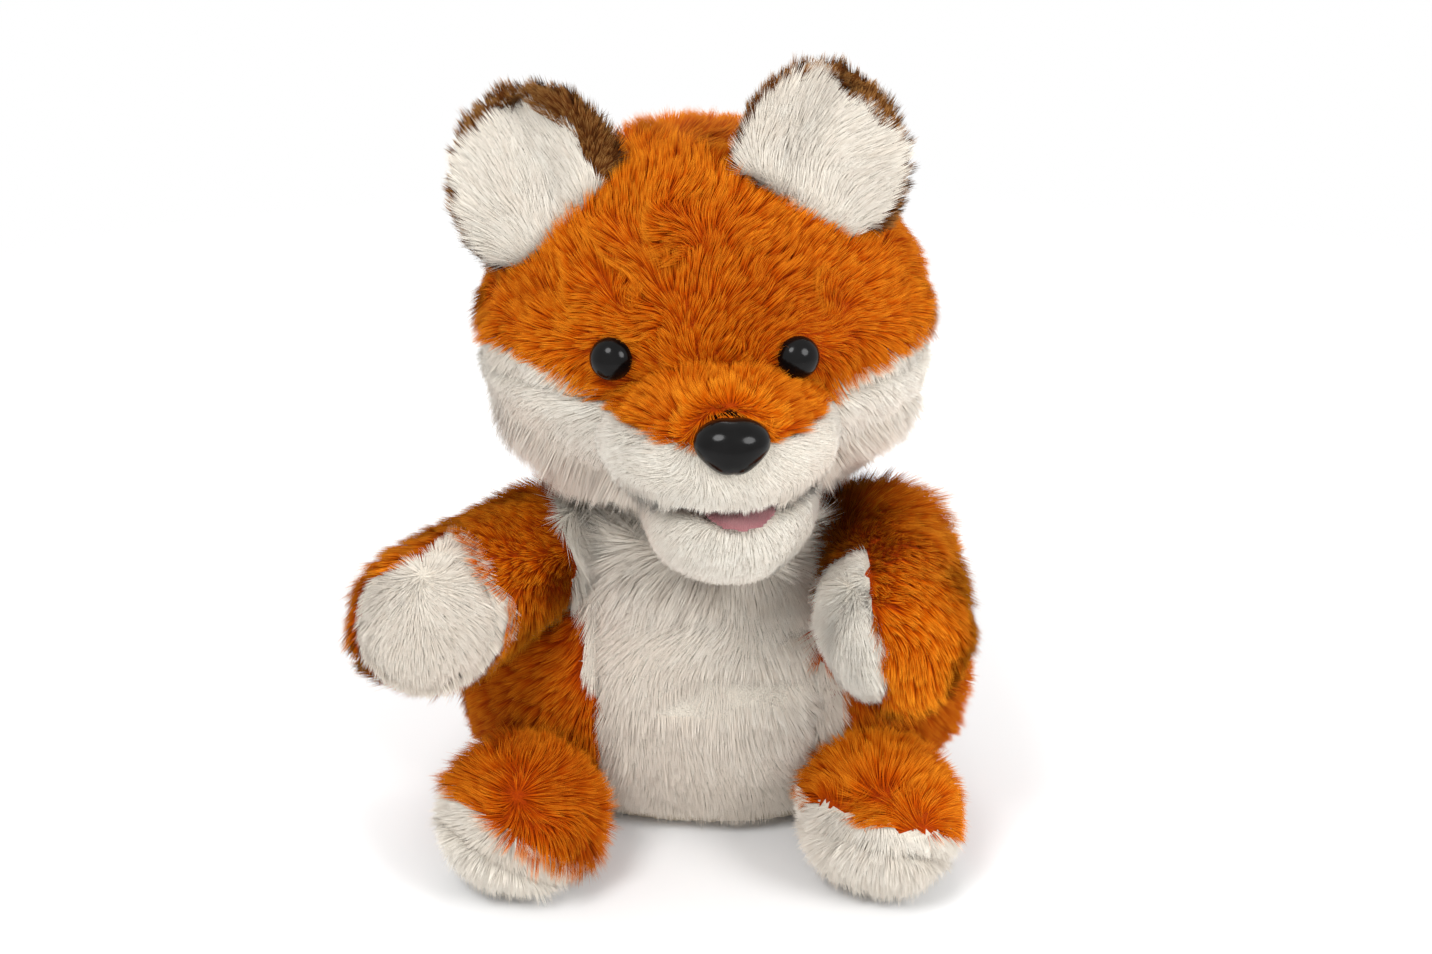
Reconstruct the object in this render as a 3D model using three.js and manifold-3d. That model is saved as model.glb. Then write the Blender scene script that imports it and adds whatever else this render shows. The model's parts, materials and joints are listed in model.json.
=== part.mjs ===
// A full-body fox hand puppet, sitting on its hem with both feet in front of it.
// Millimetres, +Z up. It faces -Y, so +X is its own left side.
// The origin is the middle of the base.

import * as THREE from 'three';
import Module from 'manifold-3d';
import { mergeVertices } from 'three/addons/utils/BufferGeometryUtils.js';

const wasm = await Module();
wasm.setup();

// Cloth thicknesses and clearances
const FUR_CLOTH = 4.5; // backing cloth with its dense underfur
const LINING = 1.6; // smooth glove lining
const GAP = 0.3; // between pieces that are sewn or seated on each other
const SLIDE_GAP = 0.6; // between surfaces that turn past each other
const CUT_PAST = 4; // how far a cut runs past what it opens

// Body
const BODY_HEIGHT = 119;
const BODY_HALF_WIDTH = 92;
const BODY_HALF_DEPTH = 52;
const BODY_X = 4;
const BODY_SQUARENESS = 2.2; // 2 is an ellipse, more is boxier
const HEM_HEIGHT = 5;
const WADDING_DROP = 13; // top of the wadding below the body's top
const WADDING_ROOM = 5; // between the wadding and the limbs' seats
const BELLY_X = 2; // middle of the white front
const BELLY_HALF_WIDTH = 37;

// The body's outline: shares of its height, half width and half depth, and how far back each level lies
const BODY_OUTLINE = [
  [0, 0.7, 0.75, 8], [0.11, 0.85, 0.865, 5], [0.25, 0.97, 0.96, 3], [0.42, 1, 1, 3], [0.59, 0.935, 0.96, 5],
  [0.755, 0.79, 0.85, 7], [0.88, 0.63, 0.75, 9], [0.95, 0.52, 0.67, 10], [1, 0.39, 0.6, 8],
];

// Hand cavity through the body, in the same columns
const HAND_HALF_WIDTH = 51;
const HAND_HALF_DEPTH = 28;
const HAND_OUTLINE = [
  [0, 0.98, 0.82, 10], [0.1, 1, 0.93, 8], [0.335, 0.98, 1, 5],
  [0.57, 0.86, 1, 6], [0.755, 0.67, 0.965, 7], [0.875, 0.54, 0.98, 8],
];

// Neck: nested round bands about one pivot
const NECK = new THREE.Vector3(BODY_X, 8, BODY_HEIGHT + 1);
const NECK_SLEEVE_RADIUS = 31.4; // inside of the sleeve
const NECK_SLEEVE_WALL = 2.6;
const COLLAR_WALL = 1.8;
const NECK_TOP = 14; // top edge of every band above the pivot
const COLLAR_BOTTOM = 1; // lower edge of the two collars above the pivot
const NECK_FLOOR = 16; // floor of the round seat below the pivot
const HEAD_TURN = 6; // degrees, as it sits in the photograph
const HEAD_NOD = 3;

// Head, measured from the neck pivot
const HEAD_X = -2.7;
const HEAD_WIDEST = 55; // height of the widest level
const HEAD_HALF_WIDTH = 77;
const HEAD_HALF_DEPTH = 61;
const HEAD_RISE = 71; // crown above the widest level
const HEAD_DROP = 56; // underside below the widest level
const HEAD_DROP_SQUARENESS = 2.4;
const COLOUR_LINE = 51.5; // white below it, orange above it
const NAPE_Y = 16; // orange nape behind it

// Muzzle
const MUZZLE_CENTRE = new THREE.Vector3(-4, -58, 42);
const MUZZLE_HALF = new THREE.Vector3(39, 37, 23);
const NOSE_HEIGHT = 53;
const NOSE_HALF = new THREE.Vector3(12, 8, 8.5);
const NOSE_X = -4;
const NOSE_PROUD = 2.5; // nose centre in front of the muzzle's cloth
const NOSE_NARROWING = [0.28, 0.12]; // share of its width lost at its foot and at its top

// Jaw
const JAW_HINGE = new THREE.Vector3(0, -48, 20);
const JAW_ROOT_RADIUS = 12.5;
const JAW_ROOT_HALF_LENGTH = 24;
const JAW_CENTRE = new THREE.Vector3(-1, -58, 16.5);
const JAW_HALF = new THREE.Vector3(29, 29, 24.5);
const JAW_OPENING = 22; // degrees it opens from rest
const ROOF_SLOPE = 7; // degrees that the palate drops towards the lips
const FLOOR_SLOPE = 17; // degrees that the mouth floor drops at rest
const MOUTH_LINING = 1.4;
const TONGUE_HALF = new THREE.Vector3(13, 15, 1.4);
const TONGUE_REACH = 25; // tongue centre in front of the jaw hinge

// Pockets for the fingers and the thumb
const FINGER_X = -3.5;
const FINGER_HALF_WIDTH = 21;
const FINGER_HALF_HEIGHT = 8;
const FINGER_HEIGHT = 45.5; // middle of the finger pocket
const FINGER_REACH = 70;
const WRIST_HALF = new THREE.Vector2(27, 19); // upright part of the pocket
const WRIST_Y = -8;
const THUMB_HALF_WIDTH = 11;
const THUMB_HALF_HEIGHT = 5;
const THUMB_REACH = 26; // pocket's blind end in front of the jaw hinge

// Eyes, and the shanks and washers behind them and the nose
const EYE_RADIUS = 7;
const EYE_RISE = 5.6;
const EYE_HEIGHT = 66.5;
const EYES = [{ side: 'right', x: -38 }, { side: 'left', x: 20.5 }];
const SHANK_RADIUS = 2.2;
const SHANK_LENGTH = 11;
const WASHER_RADIUS = 7.5;
const WASHER_THICKNESS = 1.6;

// Ears: where the middle of each base lies on the head, and how its base line leans
const EAR_HALF_WIDTH = 30;
const EAR_HALF_HEIGHT = 29.5;
const EAR_RISE = 11.5; // ear's middle above its base line
const EAR_SHIFT = 5; // ear's middle along the base line, towards the crown
const EAR_THICKNESS = 9;
const EAR_FULLNESS = 0.7; // 1 is a lens, less is fuller towards its rim
const EAR_ROOT_RADIUS = 6.5;
const EAR_ROOT_HALF_LENGTH = 26;
const EAR_SINK = 1.5; // base line below the head's surface
const EAR_CUP = 9; // how far the rims bend forward
const EAR_BEND_HEIGHT = 0.5; // share of the ear's height over which the bend comes in
const EAR_RIM = 1.5; // the back stands past the front all round
const EAR_SPARE = 12; // how far the cut between back and front reaches past the ear
const EAR_CLEARANCE = 3; // blade above the head's surface
const EAR_BACK_LEAN = 8; // degrees
const EARS = [{ side: 'right', x: -53, y: -18, lean: 45 }, { side: 'left', x: 26, y: -29, lean: -38 }];

// Arms: pivot, then direction of the arm and of its palm, as they lie in the photograph
const SHOULDER_HALF_SPAN = 59;
const SHOULDER_Y = -16;
const SHOULDER_DROP = 16; // shoulders below the body's top
const ARM_LENGTH = 52; // pivot to the middle of the paw
const ARM_ROOT_RADIUS = 20.5;
const PAW_RADIUS = 24.5;
const PALM_RADIUS = 25;
const GUSSET_HALF_ANGLE = 50; // degrees, of the round gusset behind a limb's root
const ARM_DROP = 10; // degrees that each arm drops from rest
const ROOM_SPARE = 4; // degrees to each side of an arm's swing
const ARMS = [
  {
    side: 'right', sign: -1, swings: [-20, 15],
    along: new THREE.Vector3(-38, -36, -12), palm: new THREE.Vector3(0.12, -0.93, 0.34),
  },
  {
    side: 'left', sign: 1, swings: [-5, 40],
    along: new THREE.Vector3(0, -52, -8), palm: new THREE.Vector3(-0.96, -0.25, -0.1),
  },
];

// Legs
const HIP_HALF_SPAN = 49;
const HIP = new THREE.Vector3(0, -32, 28);
const HIP_RADIUS = 15;
const FOOT_HALF = new THREE.Vector3(27.5, 31, 23.5);
const FOOT_OFFSET = new THREE.Vector3(12, -29.5, -5); // from the hip, outward for x
const LEG_ROOM = 1.8; // between a foot and the body, so that it can rise a little
const LEG_DROP = 25; // degrees that a leg hangs lower when the puppet is lifted
const LEGS = [
  { side: 'right', sign: -1, sole: new THREE.Vector3(-0.5, -0.32, -0.8), soleRise: 12 },
  { side: 'left', sign: 1, sole: new THREE.Vector3(-0.22, -0.37, -0.9), soleRise: 7 },
];

// Tail
const TAIL_ROOT = new THREE.Vector3(BODY_X, BODY_HALF_DEPTH + 3, 30);
const TAIL_LENGTH = 74; // pivot to the widest part's far end
const TAIL_ROOT_RADIUS = 11;
const TAIL_RADIUS = 21;
const TAIL_TIP_START = 62; // where the white tip begins
const TAIL_ALONG = new THREE.Vector3(0.3, 0.86, 0.42);
const TAIL_WAG = 20; // degrees to each side
const TAIL_LIFT = 10; // degrees up from rest

// Fineness of the faceted surfaces
const BODY_SIDES = 20;
const HEAD_SIDES = 18;
const HEAD_RINGS = 11;
const MUZZLE_SIDES = 14;
const MUZZLE_RINGS = 9;
const EAR_SIDES = 14;
const EAR_RINGS = 8;
const EAR_CELLS = 6;
const EAR_ROOT_SIDES = 10;
const EAR_ROOT_RINGS = 8;
const LIMB_SIDES = 12;
const LIMB_END_STEPS = 3;
const LIMB_SWELL_STEPS = 3;
const FOOT_SIDES = 12;
const FOOT_RINGS = 7;
const PLAIN_SIDES = 8;
const PLAIN_RINGS = 6;
const JOINT_SIDES = 14;
const JOINT_RINGS = 10;
const CUP_STEPS = 4;
const AXLE_SIDES = 16;
const HEM_SEGMENTS = 12;
const POCKET_SEGMENTS = 5;
const BAND_SIDES = 20;
const BAND_RINGS = 12;
const SHANK_SIDES = 8;
const EYE_SIDES = 12;
const EYE_RINGS = 5;
const NOSE_SIDES = 14;
const NOSE_RINGS = 8;
const TONGUE_RINGS = 6;

const radians = THREE.MathUtils.degToRad;
const ORIGIN = new THREE.Vector3();
const UP = new THREE.Vector3(0, 0, 1);
const FAR = 400; // past every surface
const LEAST_STEP = 2; // between two levels of a tube

const finish = (color, roughness) => new THREE.MeshStandardMaterial({ color, roughness, metalness: 0 });
const orangeFur = finish(0xcf7a1c, 0.95);
const whiteFur = finish(0xe6e0d4, 0.95);
const brownFur = finish(0x6b3a12, 0.95);
const liningCloth = finish(0xd8c9b0, 0.9);
const fibreFill = finish(0xf2f0ea, 1);
const blackPlastic = finish(0x0b0a0a, 0.15);
const mouthCloth = finish(0xa9616d, 0.85);
const tongueCloth = finish(0xd49aa2, 0.85);

/** A closed solid from a closed geometry: shared vertices are merged and collapsed faces dropped. */
function solid(geometry) {
  const bare = geometry.clone();
  for (const name of Object.keys(bare.attributes)) {
    if (name !== 'position') bare.deleteAttribute(name);
  }
  const merged = mergeVertices(bare, 1e-4);
  const index = merged.index.array;
  const faces = [];
  for (let i = 0; i < index.length; i += 3) {
    const [a, b, c] = [index[i], index[i + 1], index[i + 2]];
    if (a !== b && b !== c && c !== a) faces.push(a, b, c);
  }
  const vertProperties = new Float32Array(merged.attributes.position.array);
  return new wasm.Manifold(new wasm.Mesh({ numProp: 3, vertProperties, triVerts: new Uint32Array(faces) }));
}

/** The geometry with every vertex passed through a function that changes it in place. */
function shaped(geometry, change) {
  const position = geometry.attributes.position;
  const point = new THREE.Vector3();
  for (let i = 0; i < position.count; i++) {
    point.fromBufferAttribute(position, i);
    change(point);
    position.setXYZ(i, point.x, point.y, point.z);
  }
  return geometry;
}

/** A unit ball with its poles on Z, as a geometry. */
const unitBall = (sides, rings) => new THREE.SphereGeometry(1, sides, rings).rotateX(Math.PI / 2);

/** An ellipsoid solid. */
function ellipsoid(centre, half, sides = LIMB_SIDES, rings = 10) {
  return solid(shaped(unitBall(sides, rings), (p) => p.multiply(half).add(centre)));
}

const equalHalf = (radius) => new THREE.Vector3(radius, radius, radius);

/** A ball. */
function ball(centre, radius, sides = JOINT_SIDES, rings = JOINT_RINGS) {
  return ellipsoid(centre, equalHalf(radius), sides, rings);
}

/** The side of a plane that its normal points to, as a big block. */
function beyond(point, normal) {
  const block = new THREE.BoxGeometry(FAR, FAR, FAR).translate(0, 0, FAR / 2);
  const turn = new THREE.Quaternion().setFromUnitVectors(UP, normal.clone().normalize());
  return solid(block.applyQuaternion(turn).translate(point.x, point.y, point.z));
}

/** A block between two corners. */
function block(low, high) {
  const size = high.clone().sub(low);
  const centre = low.clone().add(high).multiplyScalar(0.5);
  return solid(new THREE.BoxGeometry(size.x, size.y, size.z).translate(centre.x, centre.y, centre.z));
}

/** A surface turned round Z from points of (radius, height). */
function lathe(points, sides) {
  const profile = points.map(([radius, height]) => new THREE.Vector2(radius, height));
  return new THREE.LatheGeometry(profile, sides).rotateX(Math.PI / 2);
}

const turned = (points, sides) => solid(lathe(points, sides));

/** A shape made thick along +Z. */
function prism(shape, depth, curveSegments) {
  return new THREE.ExtrudeGeometry(shape, { depth, bevelEnabled: false, curveSegments });
}

/** A cylinder along X. */
function axle(centre, radius, halfLength) {
  const bar = new THREE.CylinderGeometry(radius, radius, 2 * halfLength, AXLE_SIDES).rotateZ(Math.PI / 2);
  return solid(bar.translate(centre.x, centre.y, centre.z));
}

/** The levels of an outline: height, half width, half depth and middle in depth. */
function levelsOf(outline, halfWidth, halfDepth) {
  return outline.map(([rise, wide, deep, y]) => (
    { z: rise * BODY_HEIGHT, rx: wide * halfWidth, ry: deep * halfDepth, y }
  ));
}

/** The level at a height, between the two that the table gives. */
function levelAt(levels, z) {
  const above = Math.min(Math.max(levels.findIndex((level) => level.z >= z), 1), levels.length - 1);
  const [low, high] = [levels[above - 1], levels[above]];
  const share = (z - low.z) / (high.z - low.z);
  const mix = (key) => THREE.MathUtils.lerp(low[key], high[key], share);
  return { z, rx: mix('rx'), ry: mix('ry'), y: mix('y') };
}

/** A closed tube through the levels from low to high, its walls moved in by the inset. */
function stacked(levels, low, high, inset) {
  const apart = (z) => z > low + LEAST_STEP && z < high - LEAST_STEP;
  const inner = levels.map((level) => level.z).filter(apart);
  const heights = [low, ...inner, high];
  const steps = heights.length - 1;
  const tube = new THREE.CylinderGeometry(1, 1, steps, BODY_SIDES, steps).rotateX(Math.PI / 2);
  return solid(shaped(tube, (p) => {
    const level = levelAt(levels, heights[Math.round(p.z + steps / 2)]);
    const round = (value) => Math.sign(value) * Math.abs(value) ** (2 / BODY_SQUARENESS);
    p.set(BODY_X + round(p.x) * (level.rx - inset), level.y + round(p.y) * (level.ry - inset), level.z);
  }));
}

/** A band between two radii about the origin, from one height to another. */
function roundBand(inner, outer, low, high) {
  const arc = (radius, from, to) => {
    const [start, end] = [Math.asin(from / radius), Math.asin(to / radius)];
    return [0, 0.5, 1].map((t) => {
      const angle = THREE.MathUtils.lerp(start, end, t);
      return [radius * Math.cos(angle), radius * Math.sin(angle)];
    });
  };
  const outside = arc(outer, low, high);
  const inside = arc(inner, high, low);
  return turned([...outside, ...inside, outside[0]], BAND_SIDES);
}

/** The outline of a stuffed limb along Z: a round root at the origin that swells to a rounded end. */
function limbOutline(root, end, length, inset) {
  const [rootRadius, endRadius] = [root - inset, end - inset];
  const points = [];
  for (let step = 0; step < LIMB_END_STEPS; step++) {
    const angle = (step / LIMB_END_STEPS - 1) * Math.PI / 2;
    points.push([step === 0 ? 0 : rootRadius * Math.cos(angle), rootRadius * Math.sin(angle)]);
  }
  for (let step = 0; step < LIMB_SWELL_STEPS; step++) {
    const swell = Math.sin(step / LIMB_SWELL_STEPS * Math.PI / 2);
    points.push([THREE.MathUtils.lerp(rootRadius, endRadius, swell), length * step / LIMB_SWELL_STEPS]);
  }
  for (let step = 0; step <= LIMB_END_STEPS; step++) {
    const angle = step / LIMB_END_STEPS * Math.PI / 2;
    const radius = step === LIMB_END_STEPS ? 0 : endRadius * Math.cos(angle);
    points.push([radius, length + endRadius * Math.sin(angle)]);
  }
  return points;
}

const limb = (root, end, length, inset) => turned(limbOutline(root, end, length, inset), LIMB_SIDES);

/** The room in which a limb along Z swings along X and rises along Y, each by an angle to both sides. */
function limbRoom(root, end, length, swing, rise) {
  const spread = (value, reach, degrees) => {
    const angle = radians(degrees);
    return value * (1 / Math.cos(angle) + reach * Math.tan(angle) / root);
  };
  return solid(shaped(lathe(limbOutline(root, end, length, -2 * SLIDE_GAP), LIMB_SIDES), (p) => {
    const reach = Math.max(p.z, 0);
    p.set(spread(p.x, reach, swing), spread(p.y, reach, rise), p.z);
  }));
}

/** A cup about the origin that opens to +Z, its edge the given angle from its bottom. */
function cup(inner, outer, halfAngle, sides = JOINT_SIDES) {
  const steps = Array.from({ length: CUP_STEPS + 1 }, (_, step) => step);
  const arc = (radius) => steps.map((step) => {
    const angle = radians(halfAngle * step / CUP_STEPS);
    return [step === 0 ? 0 : radius * Math.sin(angle), -radius * Math.cos(angle)];
  });
  return turned([...arc(outer), ...arc(inner).reverse()], sides);
}

/** The solid without the crumbs that cuts leave beside it. */
function whole(part) {
  const bodies = part.decompose();
  return bodies.reduce((largest, body) => (body.volume() > largest.volume() ? body : largest));
}

/** The solid moved by a quaternion and a position. */
function moved(part, position, turn = new THREE.Quaternion()) {
  const matrix = new THREE.Matrix4().compose(position, turn, new THREE.Vector3(1, 1, 1));
  return part.transform(matrix.toArray());
}

/** A named mesh from a solid. */
function piece(name, part, material) {
  const mesh = part.getMesh();
  const geometry = new THREE.BufferGeometry();
  geometry.setAttribute('position', new THREE.BufferAttribute(new Float32Array(mesh.vertProperties), 3));
  geometry.setIndex(new THREE.BufferAttribute(new Uint32Array(mesh.triVerts), 1));
  geometry.computeVertexNormals();
  const named = new THREE.Mesh(geometry, material);
  named.name = name;
  return named;
}

/** A group at a position, with the pieces and groups that ride in it. */
function assembly(position, turn, ...members) {
  const group = new THREE.Group();
  group.position.copy(position);
  group.quaternion.copy(turn);
  group.add(...members);
  return group;
}

const still = new THREE.Quaternion();
const turnAbout = (axis, degrees) => new THREE.Quaternion().setFromAxisAngle(axis, radians(degrees));
const shoulder = (arm) => (
  new THREE.Vector3(BODY_X + arm.sign * SHOULDER_HALF_SPAN, SHOULDER_Y, BODY_HEIGHT - SHOULDER_DROP)
);
const hip = (leg) => new THREE.Vector3(HIP.x + leg.sign * HIP_HALF_SPAN, HIP.y, HIP.z);

// Radii of the neck's nested bands, and of the shoulder and tail joints
const sleeveOuter = NECK_SLEEVE_RADIUS + NECK_SLEEVE_WALL;
const innerCollar = sleeveOuter + SLIDE_GAP;
const outerCollar = innerCollar + COLLAR_WALL + SLIDE_GAP;
const headSocket = outerCollar + COLLAR_WALL + SLIDE_GAP + GAP;
const gussetInner = (root) => root + SLIDE_GAP + GAP;
const gussetOuter = (root) => gussetInner(root) + LINING;
const gussetSocket = (root) => gussetOuter(root) + SLIDE_GAP + GAP;

/** The turn that lays +Z along a direction. */
const layAlong = (direction) => new THREE.Quaternion().setFromUnitVectors(UP, direction.clone().normalize());

/** A limb's direction after it swings about the vertical and then rises, in degrees. */
function swung(direction, swing, rise) {
  const level = new THREE.Vector3().crossVectors(direction, UP).normalize();
  return direction.clone().applyQuaternion(turnAbout(level, rise)).applyQuaternion(turnAbout(UP, swing));
}

/** The turn that lays +Z along a direction and keeps X level. */
function layLevel(direction) {
  const ahead = direction.clone().normalize();
  const level = new THREE.Vector3().crossVectors(ahead, UP).normalize();
  const basis = new THREE.Matrix4().makeBasis(level, ahead.clone().cross(level), ahead);
  return new THREE.Quaternion().setFromRotationMatrix(basis);
}

/** Where the arms, legs, tail and neck sit in the body and move past it, to be cut from it. */
function bodySeats() {
  let seats = moved(ball(ORIGIN, headSocket, BAND_SIDES, BAND_RINGS), NECK)
    .intersect(beyond(new THREE.Vector3(0, 0, NECK.z - NECK_FLOOR), UP));
  for (const arm of ARMS) {
    const [middle, half] = [(arm.swings[1] + arm.swings[0]) / 2, (arm.swings[1] - arm.swings[0]) / 2];
    const room = limbRoom(ARM_ROOT_RADIUS, PAW_RADIUS, ARM_LENGTH, half + ROOM_SPARE, ARM_DROP);
    seats = seats.add(ball(shoulder(arm), gussetSocket(ARM_ROOT_RADIUS)))
      .add(moved(room, shoulder(arm), layLevel(swung(arm.along, middle, -ARM_DROP / 2))));
  }
  const lowered = turnAbout(new THREE.Vector3(1, 0, 0), LEG_DROP);
  for (const leg of LEGS) {
    const room = footForm(leg, -LEG_ROOM);
    seats = seats.add(moved(room, hip(leg))).add(moved(room, hip(leg), lowered))
      .add(ball(hip(leg), HIP_RADIUS + SLIDE_GAP));
  }
  const tail = limbRoom(TAIL_ROOT_RADIUS, TAIL_RADIUS, TAIL_LENGTH, TAIL_WAG, TAIL_LIFT);
  return seats.add(moved(tail, TAIL_ROOT, layLevel(TAIL_ALONG)))
    .add(ball(TAIL_ROOT, gussetSocket(TAIL_ROOT_RADIUS)));
}

/** The same places as plain shapes with room to spare, for the wadding. */
function waddingSeats() {
  const plain = (centre, half) => {
    const roomy = half.clone().addScalar(WADDING_ROOM);
    return ellipsoid(centre, roomy, PLAIN_SIDES, PLAIN_RINGS);
  };
  let seats = moved(ball(ORIGIN, headSocket + GAP, BAND_SIDES, BAND_RINGS), NECK)
    .intersect(beyond(new THREE.Vector3(0, 0, NECK.z - NECK_FLOOR), UP));
  for (const arm of ARMS) {
    const ahead = shoulder(arm).add(arm.along.clone().setLength(2 * WADDING_ROOM));
    const half = equalHalf(gussetSocket(ARM_ROOT_RADIUS));
    seats = seats.add(plain(shoulder(arm), half)).add(plain(ahead, half));
  }
  for (const leg of LEGS) {
    const foot = footMiddle(leg).add(hip(leg));
    seats = seats.add(plain(foot, FOOT_HALF)).add(plain(hip(leg), equalHalf(HIP_RADIUS)));
  }
  return seats.add(plain(TAIL_ROOT, equalHalf(gussetSocket(TAIL_ROOT_RADIUS))));
}

/** Body covers, wadding, glove lining, hem and neck sleeve. */
function buildBody() {
  const body = levelsOf(BODY_OUTLINE, BODY_HALF_WIDTH, BODY_HALF_DEPTH);
  const cavity = levelsOf(HAND_OUTLINE, HAND_HALF_WIDTH, HAND_HALF_DEPTH);
  const low = HEM_HEIGHT + GAP;
  const seats = bodySeats();
  const handTop = NECK.z - NECK_FLOOR - GAP;
  const hand = (inset) => stacked(cavity, -CUT_PAST, handTop + CUT_PAST, inset);
  const cover = stacked(body, low, BODY_HEIGHT, 0)
    .subtract(stacked(body, low - CUT_PAST, BODY_HEIGHT - FUR_CLOTH, FUR_CLOTH)).subtract(seats);
  const front = (grow) => block(
    new THREE.Vector3(BELLY_X - BELLY_HALF_WIDTH - grow, -FAR, -CUT_PAST),
    new THREE.Vector3(BELLY_X + BELLY_HALF_WIDTH + grow, NECK.y, FAR),
  );
  const sides = cover.subtract(front(GAP / 2));
  const sidePanel = (sign) => sides.intersect(beyond(new THREE.Vector3(BODY_X + sign * GAP / 2, 0, 0),
    new THREE.Vector3(sign, 0, 0)));
  const wadding = stacked(body, low, BODY_HEIGHT - WADDING_DROP, FUR_CLOTH + GAP)
    .subtract(hand(-LINING - GAP)).subtract(waddingSeats());
  const lining = stacked(cavity, low, handTop, -LINING).subtract(hand(0));
  const [base, mouth] = [body[0], cavity[0]];
  const hemShape = new THREE.Shape().absellipse(BODY_X, base.y, base.rx, base.ry, 0, 2 * Math.PI);
  hemShape.holes.push(new THREE.Path().absellipse(BODY_X, mouth.y, mouth.rx, mouth.ry, 0, 2 * Math.PI));
  const hem = prism(hemShape, HEM_HEIGHT, HEM_SEGMENTS);
  const sleeve = roundBand(NECK_SLEEVE_RADIUS, sleeveOuter, -NECK_FLOOR, NECK_TOP);
  return [
    piece('belly_panel', cover.intersect(front(-GAP / 2)), whiteFur),
    piece('side_panel_right', sidePanel(-1), orangeFur),
    piece('side_panel_left', sidePanel(1), orangeFur),
    piece('body_wadding', whole(wadding), fibreFill),
    piece('glove_lining', whole(lining), liningCloth),
    piece('bottom_hem', solid(hem), liningCloth),
    piece('neck_sleeve', moved(sleeve, NECK), liningCloth),
  ];
}

/** The head without its muzzle: an egg, narrower above its widest level and fuller below it. */
function cranium(inset) {
  return solid(shaped(unitBall(HEAD_SIDES, HEAD_RINGS), (p) => {
    const flat = Math.hypot(p.x, p.y);
    const drop = HEAD_DROP_SQUARENESS;
    const swell = p.z < 0 && flat > 0 ? flat ** (2 / drop - 1) : 1;
    const height = p.z < 0 ? -(Math.abs(p.z) ** (2 / drop)) * (HEAD_DROP - inset) : p.z * (HEAD_RISE - inset);
    const x = HEAD_X + p.x * swell * (HEAD_HALF_WIDTH - inset);
    p.set(x, p.y * swell * (HEAD_HALF_DEPTH - inset), HEAD_WIDEST + height);
  }));
}

/** The point of the head's upper front surface at x and z, with its outward normal. */
function onFace(x, z) {
  const [u, w] = [(x - HEAD_X) / HEAD_HALF_WIDTH, (z - HEAD_WIDEST) / HEAD_RISE];
  const y = -HEAD_HALF_DEPTH * Math.sqrt(1 - u * u - w * w);
  const normal = new THREE.Vector3(u / HEAD_HALF_WIDTH, y / HEAD_HALF_DEPTH ** 2, w / HEAD_RISE).normalize();
  return { point: new THREE.Vector3(x, y, z), normal };
}

/** The point of the head's top surface at x and y. */
function onCrown(x, y) {
  const [u, v] = [(x - HEAD_X) / HEAD_HALF_WIDTH, y / HEAD_HALF_DEPTH];
  return new THREE.Vector3(x, y, HEAD_WIDEST + HEAD_RISE * Math.sqrt(1 - u * u - v * v));
}

/** The muzzle as a whole ellipsoid. */
function muzzle(inset) {
  return ellipsoid(MUZZLE_CENTRE, MUZZLE_HALF.clone().subScalar(inset), MUZZLE_SIDES, MUZZLE_RINGS);
}

/** Everything below a plane that starts over the jaw's root and drops forward, in front of the hinge. */
function underMouthPlane(slope, rise) {
  const angle = radians(slope);
  const start = new THREE.Vector3(0, JAW_HINGE.y, JAW_HINGE.z + JAW_ROOT_RADIUS + rise);
  return beyond(start, new THREE.Vector3(0, Math.sin(angle), -Math.cos(angle)));
}

/** The room that the jaw turns in, cut from everything in the head above it. */
function jawRoom() {
  const front = beyond(new THREE.Vector3(0, JAW_HINGE.y + 2 * SLIDE_GAP, 0), new THREE.Vector3(0, -1, 0));
  const root = axle(JAW_HINGE, JAW_ROOT_RADIUS + SLIDE_GAP, JAW_ROOT_HALF_LENGTH + SLIDE_GAP);
  return front.intersect(underMouthPlane(ROOF_SLOPE, SLIDE_GAP)).add(root);
}

/** The finger pocket: an upright oval over the neck and a flat oval forward into the muzzle. */
function fingerPocket(grow) {
  const upright = solid(shaped(new THREE.CylinderGeometry(1, 1, 1, 20).rotateX(Math.PI / 2), (p) => {
    const [low, high] = [NECK_TOP, FINGER_HEIGHT + FINGER_HALF_HEIGHT + grow];
    p.set(p.x * (WRIST_HALF.x + grow), WRIST_Y + p.y * (WRIST_HALF.y + grow), p.z < 0 ? low : high);
  }));
  const section = new THREE.Shape();
  const [half, height] = [FINGER_HALF_WIDTH + grow, FINGER_HALF_HEIGHT + grow];
  section.absarc(half - height, 0, height, -Math.PI / 2, Math.PI / 2);
  section.absarc(height - half, 0, height, Math.PI / 2, 1.5 * Math.PI);
  const length = FINGER_REACH + WRIST_Y + grow;
  const forward = prism(section, length, POCKET_SEGMENTS)
    .rotateX(Math.PI / 2).translate(FINGER_X, WRIST_Y, FINGER_HEIGHT);
  return upright.add(solid(forward));
}

/** The thumb pocket: a flat oval from behind the jaw's root down its length. */
function thumbPocket(grow, past = 0) {
  const [half, height] = [THUMB_HALF_WIDTH + grow, THUMB_HALF_HEIGHT + grow];
  const section = new THREE.Shape();
  section.absarc(half - height, 0, height, -Math.PI / 2, Math.PI / 2);
  section.absarc(height - half, 0, height, Math.PI / 2, 1.5 * Math.PI);
  const start = JAW_ROOT_RADIUS + CUT_PAST + past;
  const tube = prism(section, start + THUMB_REACH + grow, POCKET_SEGMENTS)
    .rotateX(Math.PI / 2).translate(0, start, 0);
  const tilt = turnAbout(new THREE.Vector3(1, 0, 0), FLOOR_SLOPE);
  return moved(solid(tube), JAW_HINGE, tilt);
}

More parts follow.
